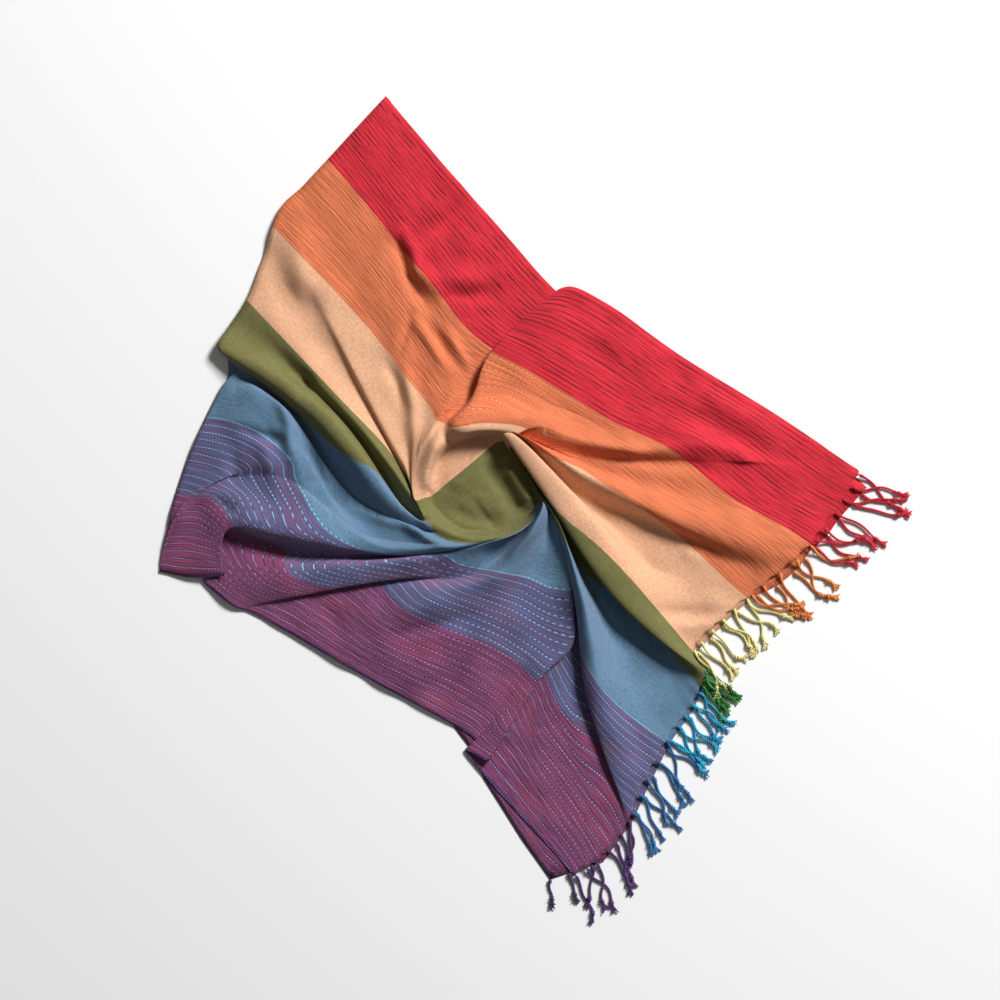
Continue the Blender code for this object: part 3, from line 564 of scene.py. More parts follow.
# Rows from the pole outwards, columns clockwise, and the column where each fold runs
def clothGrid():
    rows = upperCloth["rows"]
    at = (np.arange(1, rows + 1) / rows) ** upperCloth["rowPace"]
    lines = [alongFold(fold, even, at) for fold, even in zip(upperFolds, evenRims())]
    keys, helped = [], []
    for i, fold in enumerate(upperFolds):
        for side in (-1, 0, 1):
            if side and "corner" not in fold:
                continue
            keys.append(None if side else fold[0])
            beside = lines[(i + side) % len(lines)]
            helped.append(lines[i] + upperCloth["cornerShare"] * (beside - lines[i]))
    helped = np.array(helped)
    reach = np.linalg.norm((np.roll(helped, -1, 0) - helped)[:, :, :2], axis=2)
    span = np.maximum(reach[:, -1], reach[:, int(rows * upperCloth["spanAt"])])
    counts = np.maximum(1, np.round(span / upperCloth["spacing"])).astype(int)
    grid = np.array([roundTheRing(helped[:, j], counts) for j in range(rows)])
    floor = upperCloth["lowest"]
    grid[..., 2] = floor + upperCloth["lift"] * (grid[..., 2] - floor)
    starts = np.concatenate([[0], np.cumsum(counts)[:-1]])
    columns = {key: int(start) for key, start in zip(keys, starts) if key}
    return grid, columns


# Soft troughs and ridges pressed into the upper cloth, each within a stretch between two folds
creases = (
    # first and last fold, and each crease's depth (a ridge above 0), half width and path
    # round the rim of the twist
    ("peach hollow", "orange crest",
     (-5.0, 4.5, ((-80, 4), (-75, 17), (-75, 39), (-71, 54), (-63, 67), (-50, 74), (-29, 76), (0, 78),
      (14, 77))),
     (3.0, 6, ((-86, 6), (-87, 33), (-82, 55), (-70, 75), (-52, 85), (-26, 87), (4, 87), (24, 84)))),
    ("peach gully", "notch lip",
     (-5.0, 5, ((-98, 14), (-100, 33), (-95, 52), (-84, 72), (-73, 91), (-59, 108), (-44, 128)))),
    ("roll hollow", "blue lobe",
     (5.0, 6, ((-144, 17), (-133, 0), (-118, -18), (-103, -33), (-85, -46), (-63, -55), (-40, -58)))),
    ("roll hollow", "dark valley",
     (-4.0, 5, ((-120, -2), (-104, -22), (-86, -38), (-64, -48), (-36, -51), (-4, -49)))),
    ("roll lip", "rim crest",
     (5.0, 5, ((-102, 6), (-96, -4), (-85, -14), (-72, -27), (-60, -36), (-44, -43), (-24, -44), (5, -40),
      (22, -34), (34, -26)))),
    ("panel flat", "roll foot",
     (4.5, 5, ((47, -6), (44, -22), (35, -41), (22, -55), (7, -74), (-8, -86))),
     (-4.5, 5, ((38, -20), (28, -38), (14, -52), (0, -66), (-18, -76)))),
    ("panel hollow", "roll foot",
     (-2.5, 6, ((54, -26), (45, -44), (32, -62), (18, -82)))),
    # the panel at the right, down to the fringe
    ("long crest", "flap lip",
     (-4.0, 9, ((87, 13), (139, -18), (194, -34), (257, -62), (309, -83), (336, -86)))),
    ("long crest", "flap shoulder",
     (-1.6, 12, ((190, -55), (205, -75), (230, -90)))),
    ("peach flat", "flap lip",
     (-1.8, 11, ((205, -118), (228, -136), (256, -146)))),
    ("red inner", "orange hollow",
     (-5.0, 10, ((190, 116), (222, 102), (259, 91), (287, 72), (316, 58), (360, 40))),
     (4.5, 10, ((180, 92), (213, 81), (250, 67), (287, 53), (316, 35), (350, 20))),
     (3.0, 10, ((215, 150), (262, 118), (320, 88), (350, 66))),
     (-2.0, 10, ((228, 158), (280, 125), (330, 96)))),
    ("red outer", "long crest",
     (5.0, 9, ((30, 84), (70, 76), (105, 68), (166, 59), (199, 63), (241, 63), (275, 56))),
     (-5.0, 8, ((50, 66), (85, 57), (119, 51), (185, 44), (231, 42), (275, 28), (300, 14)))),
    ("long foot", "flap lip",
     (-4.5, 8, ((170, -128), (189, -134), (231, -138), (273, -134))),
     (3.5, 7, ((200, -150), (222, -150), (250, -148), (276, -146))),
     (-3.0, 9, ((140, -70), (166, -80), (208, -76), (240, -88)))),
    ("red rise", "orange crest",
     (-1.6, 12, ((60, 205), (110, 175), (160, 140), (205, 110))),
     (1.6, 12, ((90, 215), (140, 185), (190, 150)))),
    ("red rise", "orange hollow",
     (-3.4, 6, ((236, 160), (202, 115), (179, 79), (171, 60))),
     (2.4, 4.5, ((226, 163), (191, 115), (168, 79), (160, 63)))),
    ("deep valley", "blue lip",
     (-1.6, 9, ((150, -250), (164, -280), (180, -310)))),
    ("flap shoulder", "flap lip",
     (-1.2, 3.5, ((205, -172), (202, -185), (202, -198)))),
    # the panel up to the top corner
    ("peach crest", "red tuck",
     (6.5, 10, ((-6, 400), (-44, 376), (-70, 353), (-98, 331), (-120, 318))),
     (-5.0, 9, ((2, 376), (-38, 354), (-60, 336), (-78, 320), (-98, 306))),
     (7.0, 8, ((-140, 330), (-115, 317), (-103, 296), (-100, 277), (-84, 259), (-70, 245), (-58, 226))),
     (-6.5, 7, ((-146, 318), (-125, 308), (-115, 290), (-112, 272), (-99, 248), (-84, 230), (-74, 214))),
     (6.0, 12, ((-96, 268), (-66, 266), (-42, 264), (-16, 266), (10, 270))),
     (-6.0, 9, ((-76, 240), (-60, 243), (-41, 244), (-17, 247), (6, 256))),
     (3.5, 12, ((-60, 340), (-40, 312), (-22, 290))),
     (5.5, 7, ((-112, 222), (-96, 206), (-78, 180), (-60, 156))),
     (-5.0, 6, ((-92, 222), (-82, 206), (-66, 178), (-48, 152))),
     (5.0, 6, ((-70, 214), (-56, 190), (-42, 168), (-30, 150))),
     (-4.5, 6, ((-84, 238), (-106, 219), (-116, 190), (-126, 164))),
     (-2.4, 5, ((-172, 262), (-166, 284), (-154, 302), (-138, 312))),
     (4.0, 7, ((-128, 178), (-112, 148), (-103, 110), (-106, 76))),
     (-4.0, 6, ((-140, 170), (-124, 140), (-116, 104)))),
    ("rim crest", "peach fold",
     (-4.0, 17, ((-272, 304), (-266, 278), (-258, 244), (-248, 214), (-240, 200))),
     (-3.4, 15, ((-226, 260), (-222, 224), (-218, 196)))),
    ("rim crest", "top corner",
     (4.5, 14, ((-246, 300), (-238, 262), (-230, 232)))),
    # the panels at the bottom
    ("panel lip", "roll foot",
     (-3.4, 9, ((76, -120), (56, -146), (36, -180), (8, -226), (-16, -268), (-24, -286)))),
    ("panel flat", "roll foot",
     (6.0, 12, ((20, -130), (-10, -180), (-40, -235), (-62, -262))),
     (-6.0, 9, ((-146, -167), (-115, -160), (-81, -152), (-48, -142), (-22, -133))),
     (4.0, 10, ((-140, -142), (-110, -132), (-85, -126), (-52, -118))),
     (-4.0, 10, ((-24, -150), (-50, -200), (-84, -244))),
     (4.0, 11, ((-70, -176), (-96, -206), (-126, -230)))),
    ("panel hollow", "roll foot",
     (-2.0, 8, ((40, -150), (14, -180), (-20, -230), (-40, -262))),
     (-1.6, 7, ((-144, -156), (-120, -136), (-96, -118)))),
    ("cord crest", "roll foot",
     (-2.0, 9, ((-230, -112), (-200, -140), (-190, -170)))),
    ("plum floor", "panel turn",
     (-1.6, 3, ((27, -273), (60, -273), (102, -273)))),
    ("blue turn", "panel turn",
     (-2.2, 9, ((92, -344), (102, -362), (114, -380), (136, -396))),
     (-1.8, 12, ((84, -330), (70, -370), (66, -410)))),
    # the lobe at the left
    ("roll lip", "left side",
     (-5.0, 9, ((-318, -52), (-290, -46), (-262, -62), (-232, -74), (-205, -80)))),
    ("left lip", "blue lobe",
     (5.0, 10, ((-298, 86), (-282, 60), (-270, 30), (-264, 0))),
     (-5.0, 9, ((-320, 64), (-317, 34), (-320, 6)))),
    ("left lip", "green lip",
     (6.0, 8, ((-279, 152), (-262, 121), (-250, 89), (-252, 69), (-242, 45), (-238, 10))),
     (-5.5, 7, ((-318, 92), (-300, 82), (-281, 75), (-264, 72), (-248, 62))),
     (-4.0, 5, ((-228, 66), (-219, 44), (-214, 26), (-232, 12)))),
    ("left side", "dark valley",
     (-4.0, 7, ((-326, 132), (-310, 141), (-292, 138))),
     (-2.0, 9, ((-300, 110), (-280, 90), (-262, 60), (-250, 30)))),
    ("green lip", "rim crest",
     (-6.0, 8, ((-216, 196), (-224, 160), (-234, 130), (-250, 116))),
     (4.0, 9, ((-200, 178), (-208, 148), (-218, 120)))),
    ("left lip", "left side",
     (-6.0, 6, ((-342, 0), (-326, -8), (-310, -14))),
     (-2.2, 9, ((-372, -70), (-358, -40), (-352, -12))),
     (1.8, 9, ((-392, -60), (-382, -20), (-376, 0)))),
    ("green crest", "rim crest",
     (-2.2, 9, ((-300, 214), (-262, 178), (-228, 150), (-200, 116)))),
)


# How far each place lies from a path in plan, and the share of the path passed there
def distanceTo(places, path):
    path = np.array(path, dtype=float)
    legs = np.diff(path, axis=0)
    lengths = np.linalg.norm(legs, axis=1)
    passed = np.concatenate([[0], np.cumsum(lengths)])
    best = np.full(places.shape[:-1], np.inf)
    share = np.zeros_like(best)
    for start, leg, length, before in zip(path, legs, lengths, passed):
        out = places - start
        t = np.clip((out @ leg) / length ** 2, 0, 1)
        away = np.linalg.norm(out - t[..., None] * leg, axis=-1)
        nearer = away < best
        best = np.where(nearer, away, best)
        share = np.where(nearer, (before + t * length) / passed[-1], share)
    return best, share


# Soft ridges and troughs in the bowl of the twist
bowlCreases = (
    # depth, half width and path
    (-6.0, 12, ((-17, 55), (-4, 29), (13, 7), (22, -13), (29, -22))),
    (8.0, 8, ((7, 44), (18, 26), (29, 7), (39, -9))),
    (4.5, 11, ((-60, 8), (-42, 28), (-24, 44), (-8, 58))),
    (-4.0, 10, ((-62, -8), (-45, -18), (-20, -26), (8, -24))),
    (-2.4, 4, ((-39, 7), (-22, -14), (-5, -36))),
    (1.6, 5, ((-60, -22), (-40, -31), (-20, -34), (0, -30))),
)


# Faint swells over the whole cloth, as waves across and up per millimetre, height and start
swells = (
    (0.0118, 0.0071, 0.7, 0.4),
    (-0.0083, 0.0142, 0.6, 2.1),
    (0.0190, -0.0060, 0.45, 4.0),
    (0.0065, 0.0215, 0.4, 1.2),
    (-0.0240, -0.0130, 0.3, 5.3),
)


creasing = {
    "bowlFade": (0.2, 0.25),    # share of a path over which it fades at each end, and the least left
    "clothFade": (0.35, 0.05),
    "bowlMargin": 3,            # rows over which the bowl's creases end
    "swellMargin": 20,          # rows over which the swells start
    "sideMargin": 3,            # columns over which a crease ends beside its stretch
}


# What a crease adds to the height of each place
def creaseHeight(places, depth, width, path, fade):
    away, share = distanceTo(places, path)
    strength = np.clip(np.minimum(share, 1 - share) / fade[0], fade[1], 1)
    return depth * strength * np.exp(-(away / width) ** 2)


def pressCreases(grid, columns):
    bowlRows = int(upperCloth["shares"]["bowl"] * upperCloth["rows"]) + 1
    settle = np.clip((bowlRows - np.arange(bowlRows)) / creasing["bowlMargin"], 0, 1)[:, None]
    for crease in bowlCreases:
        height = creaseHeight(grid[:bowlRows, :, :2], *crease, creasing["bowlFade"])
        grid[:bowlRows, :, 2] += height * settle
    begin = np.clip((np.arange(len(grid)) - bowlRows) / creasing["swellMargin"], 0, 1)[:, None]
    for across, up, height, start in swells:
        turns = grid[..., 0] * across + grid[..., 1] * up
        grid[..., 2] += height * np.sin(2 * math.pi * turns + start) * begin
    total = grid.shape[1]
    for first, last, *pressed in creases:
        start, end = columns[first], columns[last]
        if end < start:
            end += total
        reach = np.arange(start, end + 1) % total
        inward = np.minimum(np.arange(len(reach)), np.arange(len(reach))[::-1])
        side = np.clip(inward / creasing["sideMargin"], 0, 1)
        for crease in pressed:
            grid[:, reach, 2] += creaseHeight(grid[:, reach, :2], *crease, creasing["clothFade"]) * side


# How far along the warp each vertex lies, in millimetres from the fold at the left
def warpPlaces(grid, columns):
    total = grid.shape[1]
    edge = grid[-1, :, :2]
    along = np.concatenate([[0], np.cumsum(np.linalg.norm(np.diff(edge, axis=0), axis=1))])
    lap = along[-1] + np.linalg.norm(edge[0] - edge[-1])
    fringeTop, fringeEnd = along[columns["orange hollow"]], along[columns["plum tip"]]
    leftEnd, topEnd = along[columns["left corner"]], along[columns["top corner"]]
    full = weave["halfLength"]
    marks = [topEnd - lap, fringeTop, fringeEnd, leftEnd, topEnd, lap + fringeTop]
    edgeWarp = np.interp(along[:total], marks, [0, full, full, 0, 0, full])
    steps = np.linalg.norm(np.diff(grid[..., :3], axis=0), axis=2)
    out = np.concatenate([np.zeros((1, total)), np.cumsum(steps, axis=0)]) + 1.0
    share = out / out[-1]
    return full / 2 + (edgeWarp - full / 2) * share


def newObject(name, data):
    made = bpy.data.objects.new(name, data)
    bpy.context.collection.objects.link(made)
    return made


# A mesh object at the origin, with the weave's places as its UV map
def meshPiece(name, places, faces, weaveAt, material):
    mesh = bpy.data.meshes.new(name)
    mesh.from_pydata(toFrame(places).tolist(), [], faces)
    layer = mesh.uv_layers.new(name="weave")
    corners = np.empty(len(mesh.loops), dtype=int)
    mesh.loops.foreach_get("vertex_index", corners)
    layer.data.foreach_set("uv", (weaveAt[corners] / 1000).astype(float).ravel())
    mesh.polygons.foreach_set("use_smooth", [True] * len(mesh.polygons))
    mesh.materials.append(material)
    mesh.update()
    return newObject(name, mesh)


# Faces, seen from above, of rings numbered outwards after a pole at 0, where columns go clockwise
def polarFaces(rows, columns):
    faces = [(0, 1 + (i + 1) % columns, 1 + i) for i in range(columns)]
    for j in range(rows - 1):
        inner, outer = 1 + j * columns, 1 + (j + 1) * columns
        for i in range(columns):
            k = (i + 1) % columns
            faces.append((inner + i, inner + k, outer + k, outer + i))
    return faces


def thicken(piece, thickness):
    wall = piece.modifiers.new("thickness", "SOLIDIFY")
    wall.thickness = thickness / 1000
    wall.offset = -1


# The fringe. Every tassel is two twisted plies with a knot at the root, one near the end and a frayed tuft.
fringe = {
    "seed": 7,
    "plyRadius": 1.2,
    "turnsPerMm": 0.17,
    "plySides": 6,
    "plyOffset": 0.85,      # how far each ply lies from the middle, in radii
    "step": 1.7,
    "points": 22,
    "bow": (-28, 28),       # ranges to draw from: angles in degrees, sway in radians, the rest in millimetres
    "sway": (-3, 3),
    "wave": (8, 22),
    "hook": (-40, 40),
    "drop": (14, 26),
    "floor": (1.5, 2.9),
    "knots": ((0.86, 3.2, 1.0), (0.07, 2.4, 0.4)),      # share of the length, reach and bulge
    "knotBulge": 1.15,
    "taper": 0.25,
    "clearance": 1.85,      # the lowest that a tassel's middle lies, in its own radii
    "rootDrop": 0.6,
    "wander": (-9, 9),
    "stray": (-16, 16),
    "longer": (0.88, 1.08),     # a share of the band's length
    "gather": 3.4,          # how far the cloth's edge is drawn out into each tassel
    "gatherWidth": 5.0,
    "gatherRows": 5,
    "gatherRise": 1.5,
    "puckerBack": 1.0,      # how far it draws back between them
    "puckerDrop": 0.4,      # and sinks, as a share of the rise
    "yarns": {
        "red": ((232, 36, 62), (206, 26, 52)),
        "orange": ((244, 162, 84), (228, 128, 66)),
        "peach": ((246, 240, 168), (232, 214, 138)),
        "green": ((62, 148, 56), (40, 108, 44)),
        "blue": ((24, 190, 220), (40, 146, 200)),
        "periwinkle": ((56, 136, 196), (44, 98, 156)),
        "plum": ((104, 62, 130), (76, 48, 106)),
        "violet": ((88, 58, 120), (68, 44, 94)),
    },
    "bands": (
        # layer, colour, first stripe, last stripe, tassels, leaves, ends, length
        ("upper", "red", 0.02, 0.97, 6, -32, -2, 70),
        ("upper", "orange", 1.03, 1.97, 5, -62, -4, 66),
        ("upper", "peach", 2.03, 2.97, 6, -52, -38, 60),
        ("upper", "green", 3.45, 3.98, 5, -52, -28, 48),
        ("upper", "blue", 4.12, 4.95, 5, -40, -58, 56),
        ("upper", "periwinkle", 5.03, 5.97, 5, -40, -66, 62),
        ("upper", "plum", 6.12, 6.97, 6, -62, -92, 62),
        ("lower", "red", 0.12, 0.95, 5, -36, -14, 62),
        ("lower", "orange", 1.12, 1.92, 4, -56, -16, 56),
        ("lower", "peach", 2.1, 2.95, 5, -48, -46, 54),
        ("lower", "green", 3.5, 3.95, 4, -46, -40, 46),
        ("lower", "blue", 4.1, 4.95, 5, -52, -30, 52),
        ("lower", "periwinkle", 5.1, 5.95, 5, -52, -44, 54),
        ("lower", "plum", 6.1, 6.6, 3, -70, -84, 50),
        ("lower", "violet", 6.82, 6.97, 2, -88, -86, 32),
    ),
}


# The stripe count at the root of every tassel in a band
def tasselRoots(band):
    layer, colour, first, last, count = band[:5]
    chance = random.Random(f"{layer} {colour}")
    return [first + (last - first) * (k + chance.uniform(-0.18, 0.18)) / (count - 1) for k in range(count)]


# The edge of the cloth is drawn out into each tassel and puckers beside it
def gatherEdge(grid, columns):
    roots = np.concatenate([tasselRoots(band) for band in fringe["bands"] if band[0] == "upper"])
    fringed = np.arange(columns["orange hollow"], columns["plum tip"] + 1)
    away = np.abs(stripeToMm(grid[-1, fringed, 3])[:, None] - stripeToMm(roots)[None, :]).min(axis=1)
    drawn = np.exp(-(away / fringe["gatherWidth"]) ** 2)
    rows = fringe["gatherRows"]
    out = grid[-1, fringed, :2] - grid[-1 - rows, fringed, :2]
    out /= np.maximum(np.linalg.norm(out, axis=1), 1)[:, None]
    for back in range(rows):
        fade = 1 - back / rows
        pull = fringe["gather"] * drawn - fringe["puckerBack"]
        grid[-1 - back, fringed, :2] += out * (pull * fade ** 2)[:, None]
        grid[-1 - back, fringed, 2] += fringe["gatherRise"] * (drawn - fringe["puckerDrop"]) * fade


def makeUpperCloth():
    grid, columns = clothGrid()
    pressCreases(grid, columns)
    gatherEdge(grid, columns)
    grid[..., 2] = np.maximum(grid[..., 2], upperCloth["lowest"])
    warp = warpPlaces(grid, columns)
    pole = np.array([upperCloth["pole"]], dtype=float)
    places = np.concatenate([pole, grid.reshape(-1, 4)])
    weaveAt = np.stack([
        np.concatenate([[weave["halfLength"] / 2], warp.ravel()]),
        stripeToMm(np.clip(places[:, 3], 0, 7)),
    ], axis=1)
    piece = meshPiece("upper_cloth", places, polarFaces(*grid.shape[:2]), weaveAt, clothPaint)
    thicken(piece, upperCloth["thickness"])
    return piece, grid, columns


upper, upperGrid, upperColumns = makeUpperCloth()
print("upper cloth", len(upper.data.polygons), "faces")

# The lower cloth shows past the upper one at the fringed end and along the lower left.
lowerCloth = {
    "pole": (-22, 12),
    "top": 1.9,
    "edge": 1.3,
    "edgeFrom": 0.97,       # the share of the way out where the edge begins
    "poleStripe": 3.5,
    "thickness": 0.9,
    "rings": 26,
    "spacing": 9.0,
    "twist": 70.0,          # degrees that the middle is turned by
    "shown": 0.42,          # square metres of its cut that lie flat; its hidden folds are left out
    "outline": (            # across, up, stripe and warp, clockwise from the red corner of the fringed end
        (440, 15, 0, 850), (424, -3, 0.3, 850), (407, -22, 0.55, 850), (391, -45, 0.8, 850),
        (371, -62, 1.0, 850), (359, -81, 1.25, 850), (334, -102, 1.6, 850), (304, -116, 2.0, 850),
        (275, -142, 2.4, 850), (234, -184, 3.0, 850), (246, -204, 3.5, 850), (243, -222, 4.0, 850),
        (233, -250, 4.35, 850), (205, -290, 4.97, 850), (176, -348, 5.7, 850), (160, -384, 6.08, 850),
        (124, -434, 6.5, 850), (60, -455, 7, 850), (26, -407, 7, 700), (4, -372, 7, 640),
        (-20, -334, 7, 590), (-34, -300, 7, 550), (-66, -258, 7, 470), (-158, -205, 7, 380),
        (-300, -126, 7, 200), (-330, -84, 7, 60), (-398, -80, 7, 0), (-392, -30, 6.5, 0), (-379, 14, 6, 0),
        (-343, 99, 5, 0), (-326, 150, 4.4, 0), (-326, 178, 3.8, 0), (-294, 238, 3, 0), (-276, 285, 2.45, 0),
        (-254, 345, 1.75, 0), (-228, 370, 1.4, 0), (-180, 422, 0.7, 0), (-138, 470, 0, 0),
        (-64, 384, 0, 120), (0, 314, 0, 260), (48, 262, 0, 360), (76, 240, 0, 400), (122, 228, 0, 500),
        (210, 166, 0, 620), (330, 92, 0, 760), (424, 30, 0, 850),
    ),
}


def makeLowerCloth():
    pole = np.array(lowerCloth["pole"], dtype=float)
    outline = np.array(lowerCloth["outline"], dtype=float)
    closed = np.concatenate([outline, outline[:1]])
    steps = np.linalg.norm(np.diff(closed[:, :2], axis=0), axis=1)
    counts = np.maximum(1, np.round(steps / lowerCloth["spacing"])).astype(int)
    edge = np.concatenate([
        a + (b - a) * (np.arange(count) / count)[:, None] for a, b, count in zip(closed, closed[1:], counts)
    ])
    rings = lowerCloth["rings"]
    places = [(*pole, lowerCloth["top"])]
    weaveAt = [(weave["halfLength"] / 2, stripeToMm(lowerCloth["poleStripe"]))]
    middleWeave = np.array([weave["halfLength"], weave["edges"][-1]]) / 2
    edgeWeave = np.stack([edge[:, 3], stripeToMm(edge[:, 2])], axis=1) - middleWeave
    for ring in range(1, rings + 1):
        share = ring / rings
        high = lowerCloth["top" if share < lowerCloth["edgeFrom"] else "edge"]
        turn = math.radians(lowerCloth["twist"]) * (1 - share) ** 2
        cos, sin = math.cos(turn), math.sin(turn)
        turned = np.stack([edgeWeave[:, 0] * cos - edgeWeave[:, 1] * sin,
                           edgeWeave[:, 0] * sin + edgeWeave[:, 1] * cos], axis=1)
        for place, at in zip(pole + share * (edge[:, :2] - pole), middleWeave + share * turned):
            places.append((*place, high))
            weaveAt.append(at)
    piece = meshPiece("lower_cloth", places, polarFaces(rings, len(edge)), np.array(weaveAt), clothPaint)
    thicken(piece, lowerCloth["thickness"])
    return piece


lower = makeLowerCloth()
print("lower cloth", len(lower.data.polygons), "faces")


# The fringed end of a layer as stripe counts and places, from the red corner to the plum one
def edgePlaces(layer):
    if layer == "lower":
        end = [row for row in lowerCloth["outline"] if row[3] == weave["halfLength"]][:-1]
        places = [(*row[:2], lowerCloth["top"]) for row in end]
        return np.array([row[2] for row in end]), np.array(places, dtype=float)
    first, last = upperColumns["orange hollow"], upperColumns["plum tip"]
    edge = upperGrid[-1, first:last + 1]
    return np.maximum.accumulate(edge[:, 3]), edge[:, :3]


# Places and thickness along one tassel, which leaves the edge and sinks to the floor
def tasselPath(root, leaves, ends, length, chance):
    drawn = ("bow", "sway", "wave", "hook", "drop", "floor")
    bow, sway, wave, hook, drop, floor = (chance.uniform(*fringe[name]) for name in drawn)
    place = np.array(root, dtype=float)
    path = [(*place, 0.5)]
    top = place[2]
    steps = fringe["points"] - 1
    for k in range(1, steps + 1):
        share = k / steps
        bearing = leaves + (ends - leaves) * share + bow * math.sin(share * math.pi)
        bearing += wave * math.sin(share * 8 + sway) + hook * share ** 3
        way = np.array([math.cos(math.radians(bearing)), math.sin(math.radians(bearing)), 0])
        place = place + length / steps * way
        place[2] = top + (floor - top) * ease(min(share * length / drop, 1))
        knot = 0
        for at, reach, bulge in fringe["knots"]:
            knot += bulge * math.exp(-((share - at) * length / reach) ** 2)
        thick = (1 - fringe["taper"] * share) * (1 + fringe["knotBulge"] * knot)
        path.append((*place[:2], max(place[2], fringe["clearance"] * fringe["plyRadius"] * thick), thick))
    return np.array(path)


# The frayed ends past a tassel's knot
tuft = {
    "strands": 9,
    "points": 5,
    "length": 11.0,
    "turn": (-14, 14),      # ranges to draw from: degrees, share of the length, radians and millimetres
    "part": (0.6, 1.1),
    "curl": (-0.5, 0.5),
    "rise": (-0.4, 1.2),
    "floor": 1.9,
    "thickness": 0.85,
    "taper": 0.4,
}


def tuftPaths(path, chance):
    tip = path[-3]
    way = path[-1, :2] - path[-4, :2]
    bearing = math.degrees(math.atan2(way[1], way[0]))
    for _ in range(tuft["strands"]):
        turn, part, curl, rise = (chance.uniform(*tuft[name]) for name in ("turn", "part", "curl", "rise"))
        strand = []
        for share in np.linspace(0, 1, tuft["points"]).tolist():
            reach = tuft["length"] * part * share
            heading = math.radians(bearing + turn) + curl * share
            x = tip[0] + reach * math.cos(heading)
            y = tip[1] + reach * math.sin(heading)
            z = max(tuft["floor"], tip[2] * (1 - share) + (tuft["floor"] + rise) * share)
            strand.append((x, y, z, tuft["thickness"] * (1 - tuft["taper"] * share)))
        yield np.array(strand)


# Geometry nodes that turn every path into two twisted plies
def twistTree():
    tree = bpy.data.node_groups.new("twisted_plies", "GeometryNodeTree")
    face = tree.interface
    face.new_socket("Paths", in_out="INPUT", socket_type="NodeSocketGeometry")
    for name in ("Ply radius", "Step", "Turns per metre"):
        face.new_socket(name, in_out="INPUT", socket_type="NodeSocketFloat")
    face.new_socket("Yarn", in_out="INPUT", socket_type="NodeSocketMaterial")
    face.new_socket("Fringe", in_out="OUTPUT", socket_type="NodeSocketGeometry")

    nodes = Nodes(tree)
    given = nodes.add("NodeGroupInput").outputs
    evened = nodes.add("GeometryNodeResampleCurve")
    if hasattr(evened, "mode"):
        evened.mode = "LENGTH"
    nodes.fill(evened, {"Curve": given["Paths"], "Length": given["Step"]})
    passed = nodes.add("GeometryNodeSplineParameter").outputs["Length"]
    angle = nodes.product(passed, given["Turns per metre"], 2 * math.pi)
    tilted = nodes.output("GeometryNodeSetCurveTilt", {"Curve": evened.outputs[0], "Tilt": angle})
    circle = {"Resolution": fringe["plySides"], "Radius": given["Ply radius"]}
    ply = nodes.output("GeometryNodeCurvePrimitiveCircle", circle)
    plies = nodes.add("GeometryNodeJoinGeometry")
    for side in (1, -1):
        beside = nodes.vector(nodes.product(given["Ply radius"], fringe["plyOffset"] * side), 0.0)
        moved = nodes.output("GeometryNodeTransform", {"Geometry": ply, "Translation": beside})
        nodes.feed(plies.inputs[0], moved)
    swept = nodes.add("GeometryNodeCurveToMesh")
    nodes.fill(swept, {"Curve": tilted, "Profile Curve": plies.outputs[0], "Fill Caps": True})
    if "Scale" in swept.inputs:
        nodes.feed(swept.inputs["Scale"], nodes.output("GeometryNodeInputRadius", {}))
    real = nodes.output("GeometryNodeRealizeInstances", {"Geometry": swept.outputs[0]})
    dyed = nodes.output("GeometryNodeSetMaterial", {"Geometry": real, "Material": given["Yarn"]})
    nodes.feed(nodes.add("NodeGroupOutput").inputs[0], dyed)
    return tree


# One plain mesh of twisted plies along all the paths
def sweep(name, paths, tree, material):
    curve = bpy.data.curves.new(name + "_paths", "CURVE")
    curve.dimensions = "3D"
    for path in paths:
        spline = curve.splines.new("POLY")
        spline.points.add(len(path) - 1)
        for point, place in zip(spline.points, path):
            point.co = (*toFrame(place[:3]), 1)
            point.radius = place[3]
    holder = newObject(name + "_holder", curve)
    nodes = holder.modifiers.new("plies", "NODES")
    nodes.node_group = tree
    wanted = {
        "Ply radius": fringe["plyRadius"] / 1000,
        "Step": fringe["step"] / 1000,
        "Turns per metre": fringe["turnsPerMm"] * 1000,
        "Yarn": material,
    }
    for item in tree.interface.items_tree:
        if item.in_out == "INPUT" and item.name in wanted:
            nodes[item.identifier] = wanted[item.name]
    shown = holder.evaluated_get(bpy.context.evaluated_depsgraph_get())
    mesh = bpy.data.meshes.new_from_object(shown)
    mesh.name = name
    bpy.data.objects.remove(holder)
    bpy.data.curves.remove(curve)
    mesh.polygons.foreach_set("use_smooth", [True] * len(mesh.polygons))
    return newObject(name, mesh)


def makeFringe():
    chance = random.Random(fringe["seed"])
    tree = twistTree()
    yarns = {colour: yarnMaterial(colour + "_yarn", *tones) for colour, tones in fringe["yarns"].items()}
    pieces = []
    for band in fringe["bands"]:
        layer, colour, leaves, ends, length = band[0], band[1], *band[5:]
        stripes, places = edgePlaces(layer)
        paths = []
        for stripe in tasselRoots(band):
            root = [np.interp(stripe, stripes, places[:, axis]) for axis in range(3)]
            root[2] -= fringe["rootDrop"]
            wander, longer, stray = (chance.uniform(*fringe[name]) for name in ("wander", "longer", "stray"))
            path = tasselPath(root, leaves + wander, ends + wander + stray, length * longer, chance)
            paths.append(path)
            paths.extend(tuftPaths(path, chance))
        pieces.append(sweep(f"{layer}_{colour}_tassels", paths, tree, yarns[colour]))
    return pieces


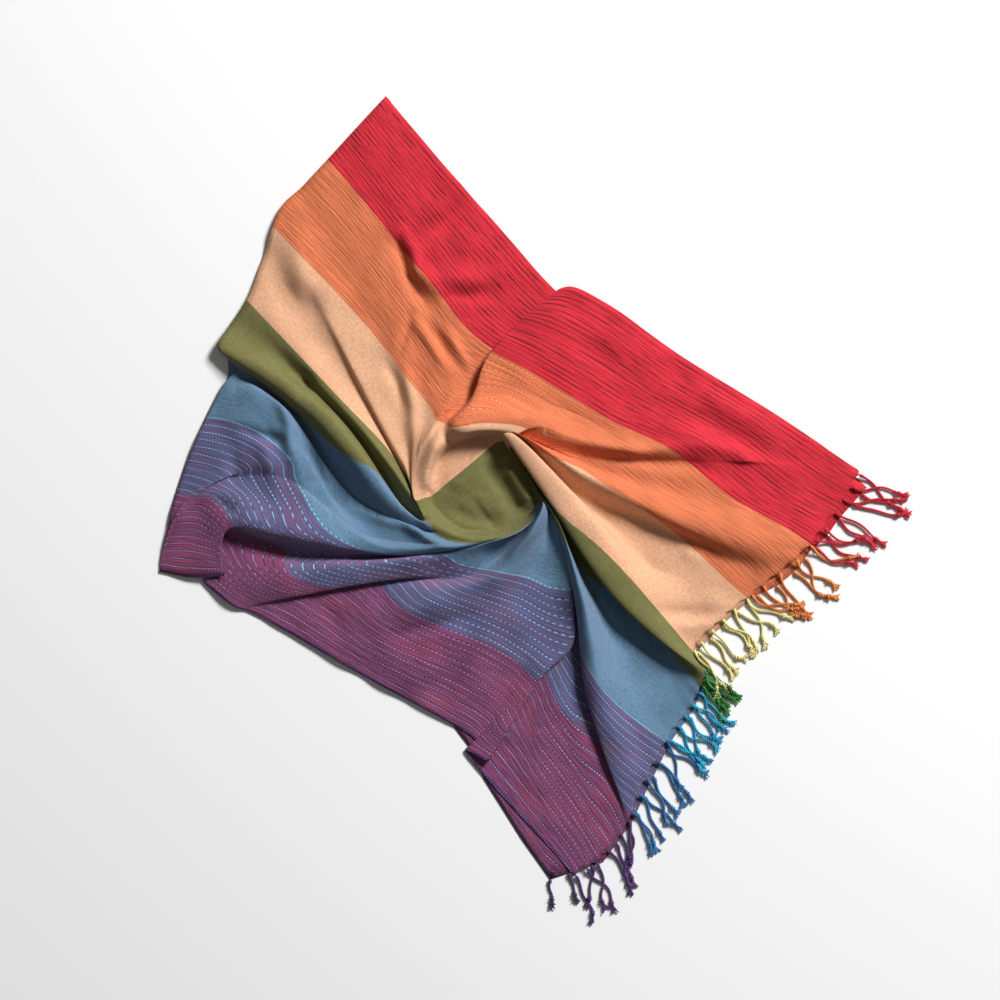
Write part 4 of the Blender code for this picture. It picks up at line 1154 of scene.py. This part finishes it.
tassels = makeFringe()
print("fringe", sum(len(piece.data.polygons) for piece in tassels), "faces")


# What carries each piece, and the solids that it stands for
def declare():
    panels = (
        "right_panel", "upper_panel", "left_panel", "lower_panel", "lower_right_panel", "plum_corner",
        "centre_bowl",
    )
    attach(upper, "root")
    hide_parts(*panels)
    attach(lower, "root")
    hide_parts("under_layer")
    for piece, band in zip(tassels, fringe["bands"]):
        node = f"{band[0]}_fringe_{band[1]}"
        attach(piece, "root")
        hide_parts(node)


declare()

studio = {
    "floorSize": 8.0,
    "floorColour": (0.9, 0.9, 0.9, 1),
    "cameraHeight": 3.333,
    "lens": 100.0,
    "sky": 0.13,
    "lights": (
        # name, place, size, power
        ("key", (3.2, 3.7, 3.7), 1.6, 590),
    ),
}


def makeStudio():
    half = studio["floorSize"] / 2
    mesh = bpy.data.meshes.new("floor")
    corners = [(-half, -half, 0), (half, -half, 0), (half, half, 0), (-half, half, 0)]
    mesh.from_pydata(corners, [], [(0, 1, 2, 3)])
    paint = Shader("pale_floor")
    paint.fill(paint.surface, {"Base Color": studio["floorColour"], "Roughness": 0.9})
    mesh.materials.append(paint.material)
    floor = newObject("floor", mesh)
    world = bpy.data.worlds.new("studio")
    world.use_nodes = True
    backdrop = world.node_tree.nodes["Background"]
    backdrop.inputs["Color"].default_value = (1, 1, 1, 1)
    backdrop.inputs["Strength"].default_value = studio["sky"]
    bpy.context.scene.world = world
    for name, place, size, power in studio["lights"]:
        lamp = bpy.data.lights.new(name, "AREA")
        lamp.size = size
        lamp.energy = power
        holder = newObject(name, lamp)
        holder.location = place
        aim = -holder.location.normalized()
        holder.rotation_euler = aim.to_track_quat("-Z", "Y").to_euler()
    lens = bpy.data.cameras.new("camera")
    lens.lens = studio["lens"]
    lens.sensor_width = 36.0
    camera = newObject("camera", lens)
    middle = toFrame((0, 0, 0))
    camera.location = (middle[0], middle[1], studio["cameraHeight"])
    bpy.context.scene.camera = camera
    bpy.context.scene.view_settings.view_transform = "Standard"


makeStudio()
print("studio ready")
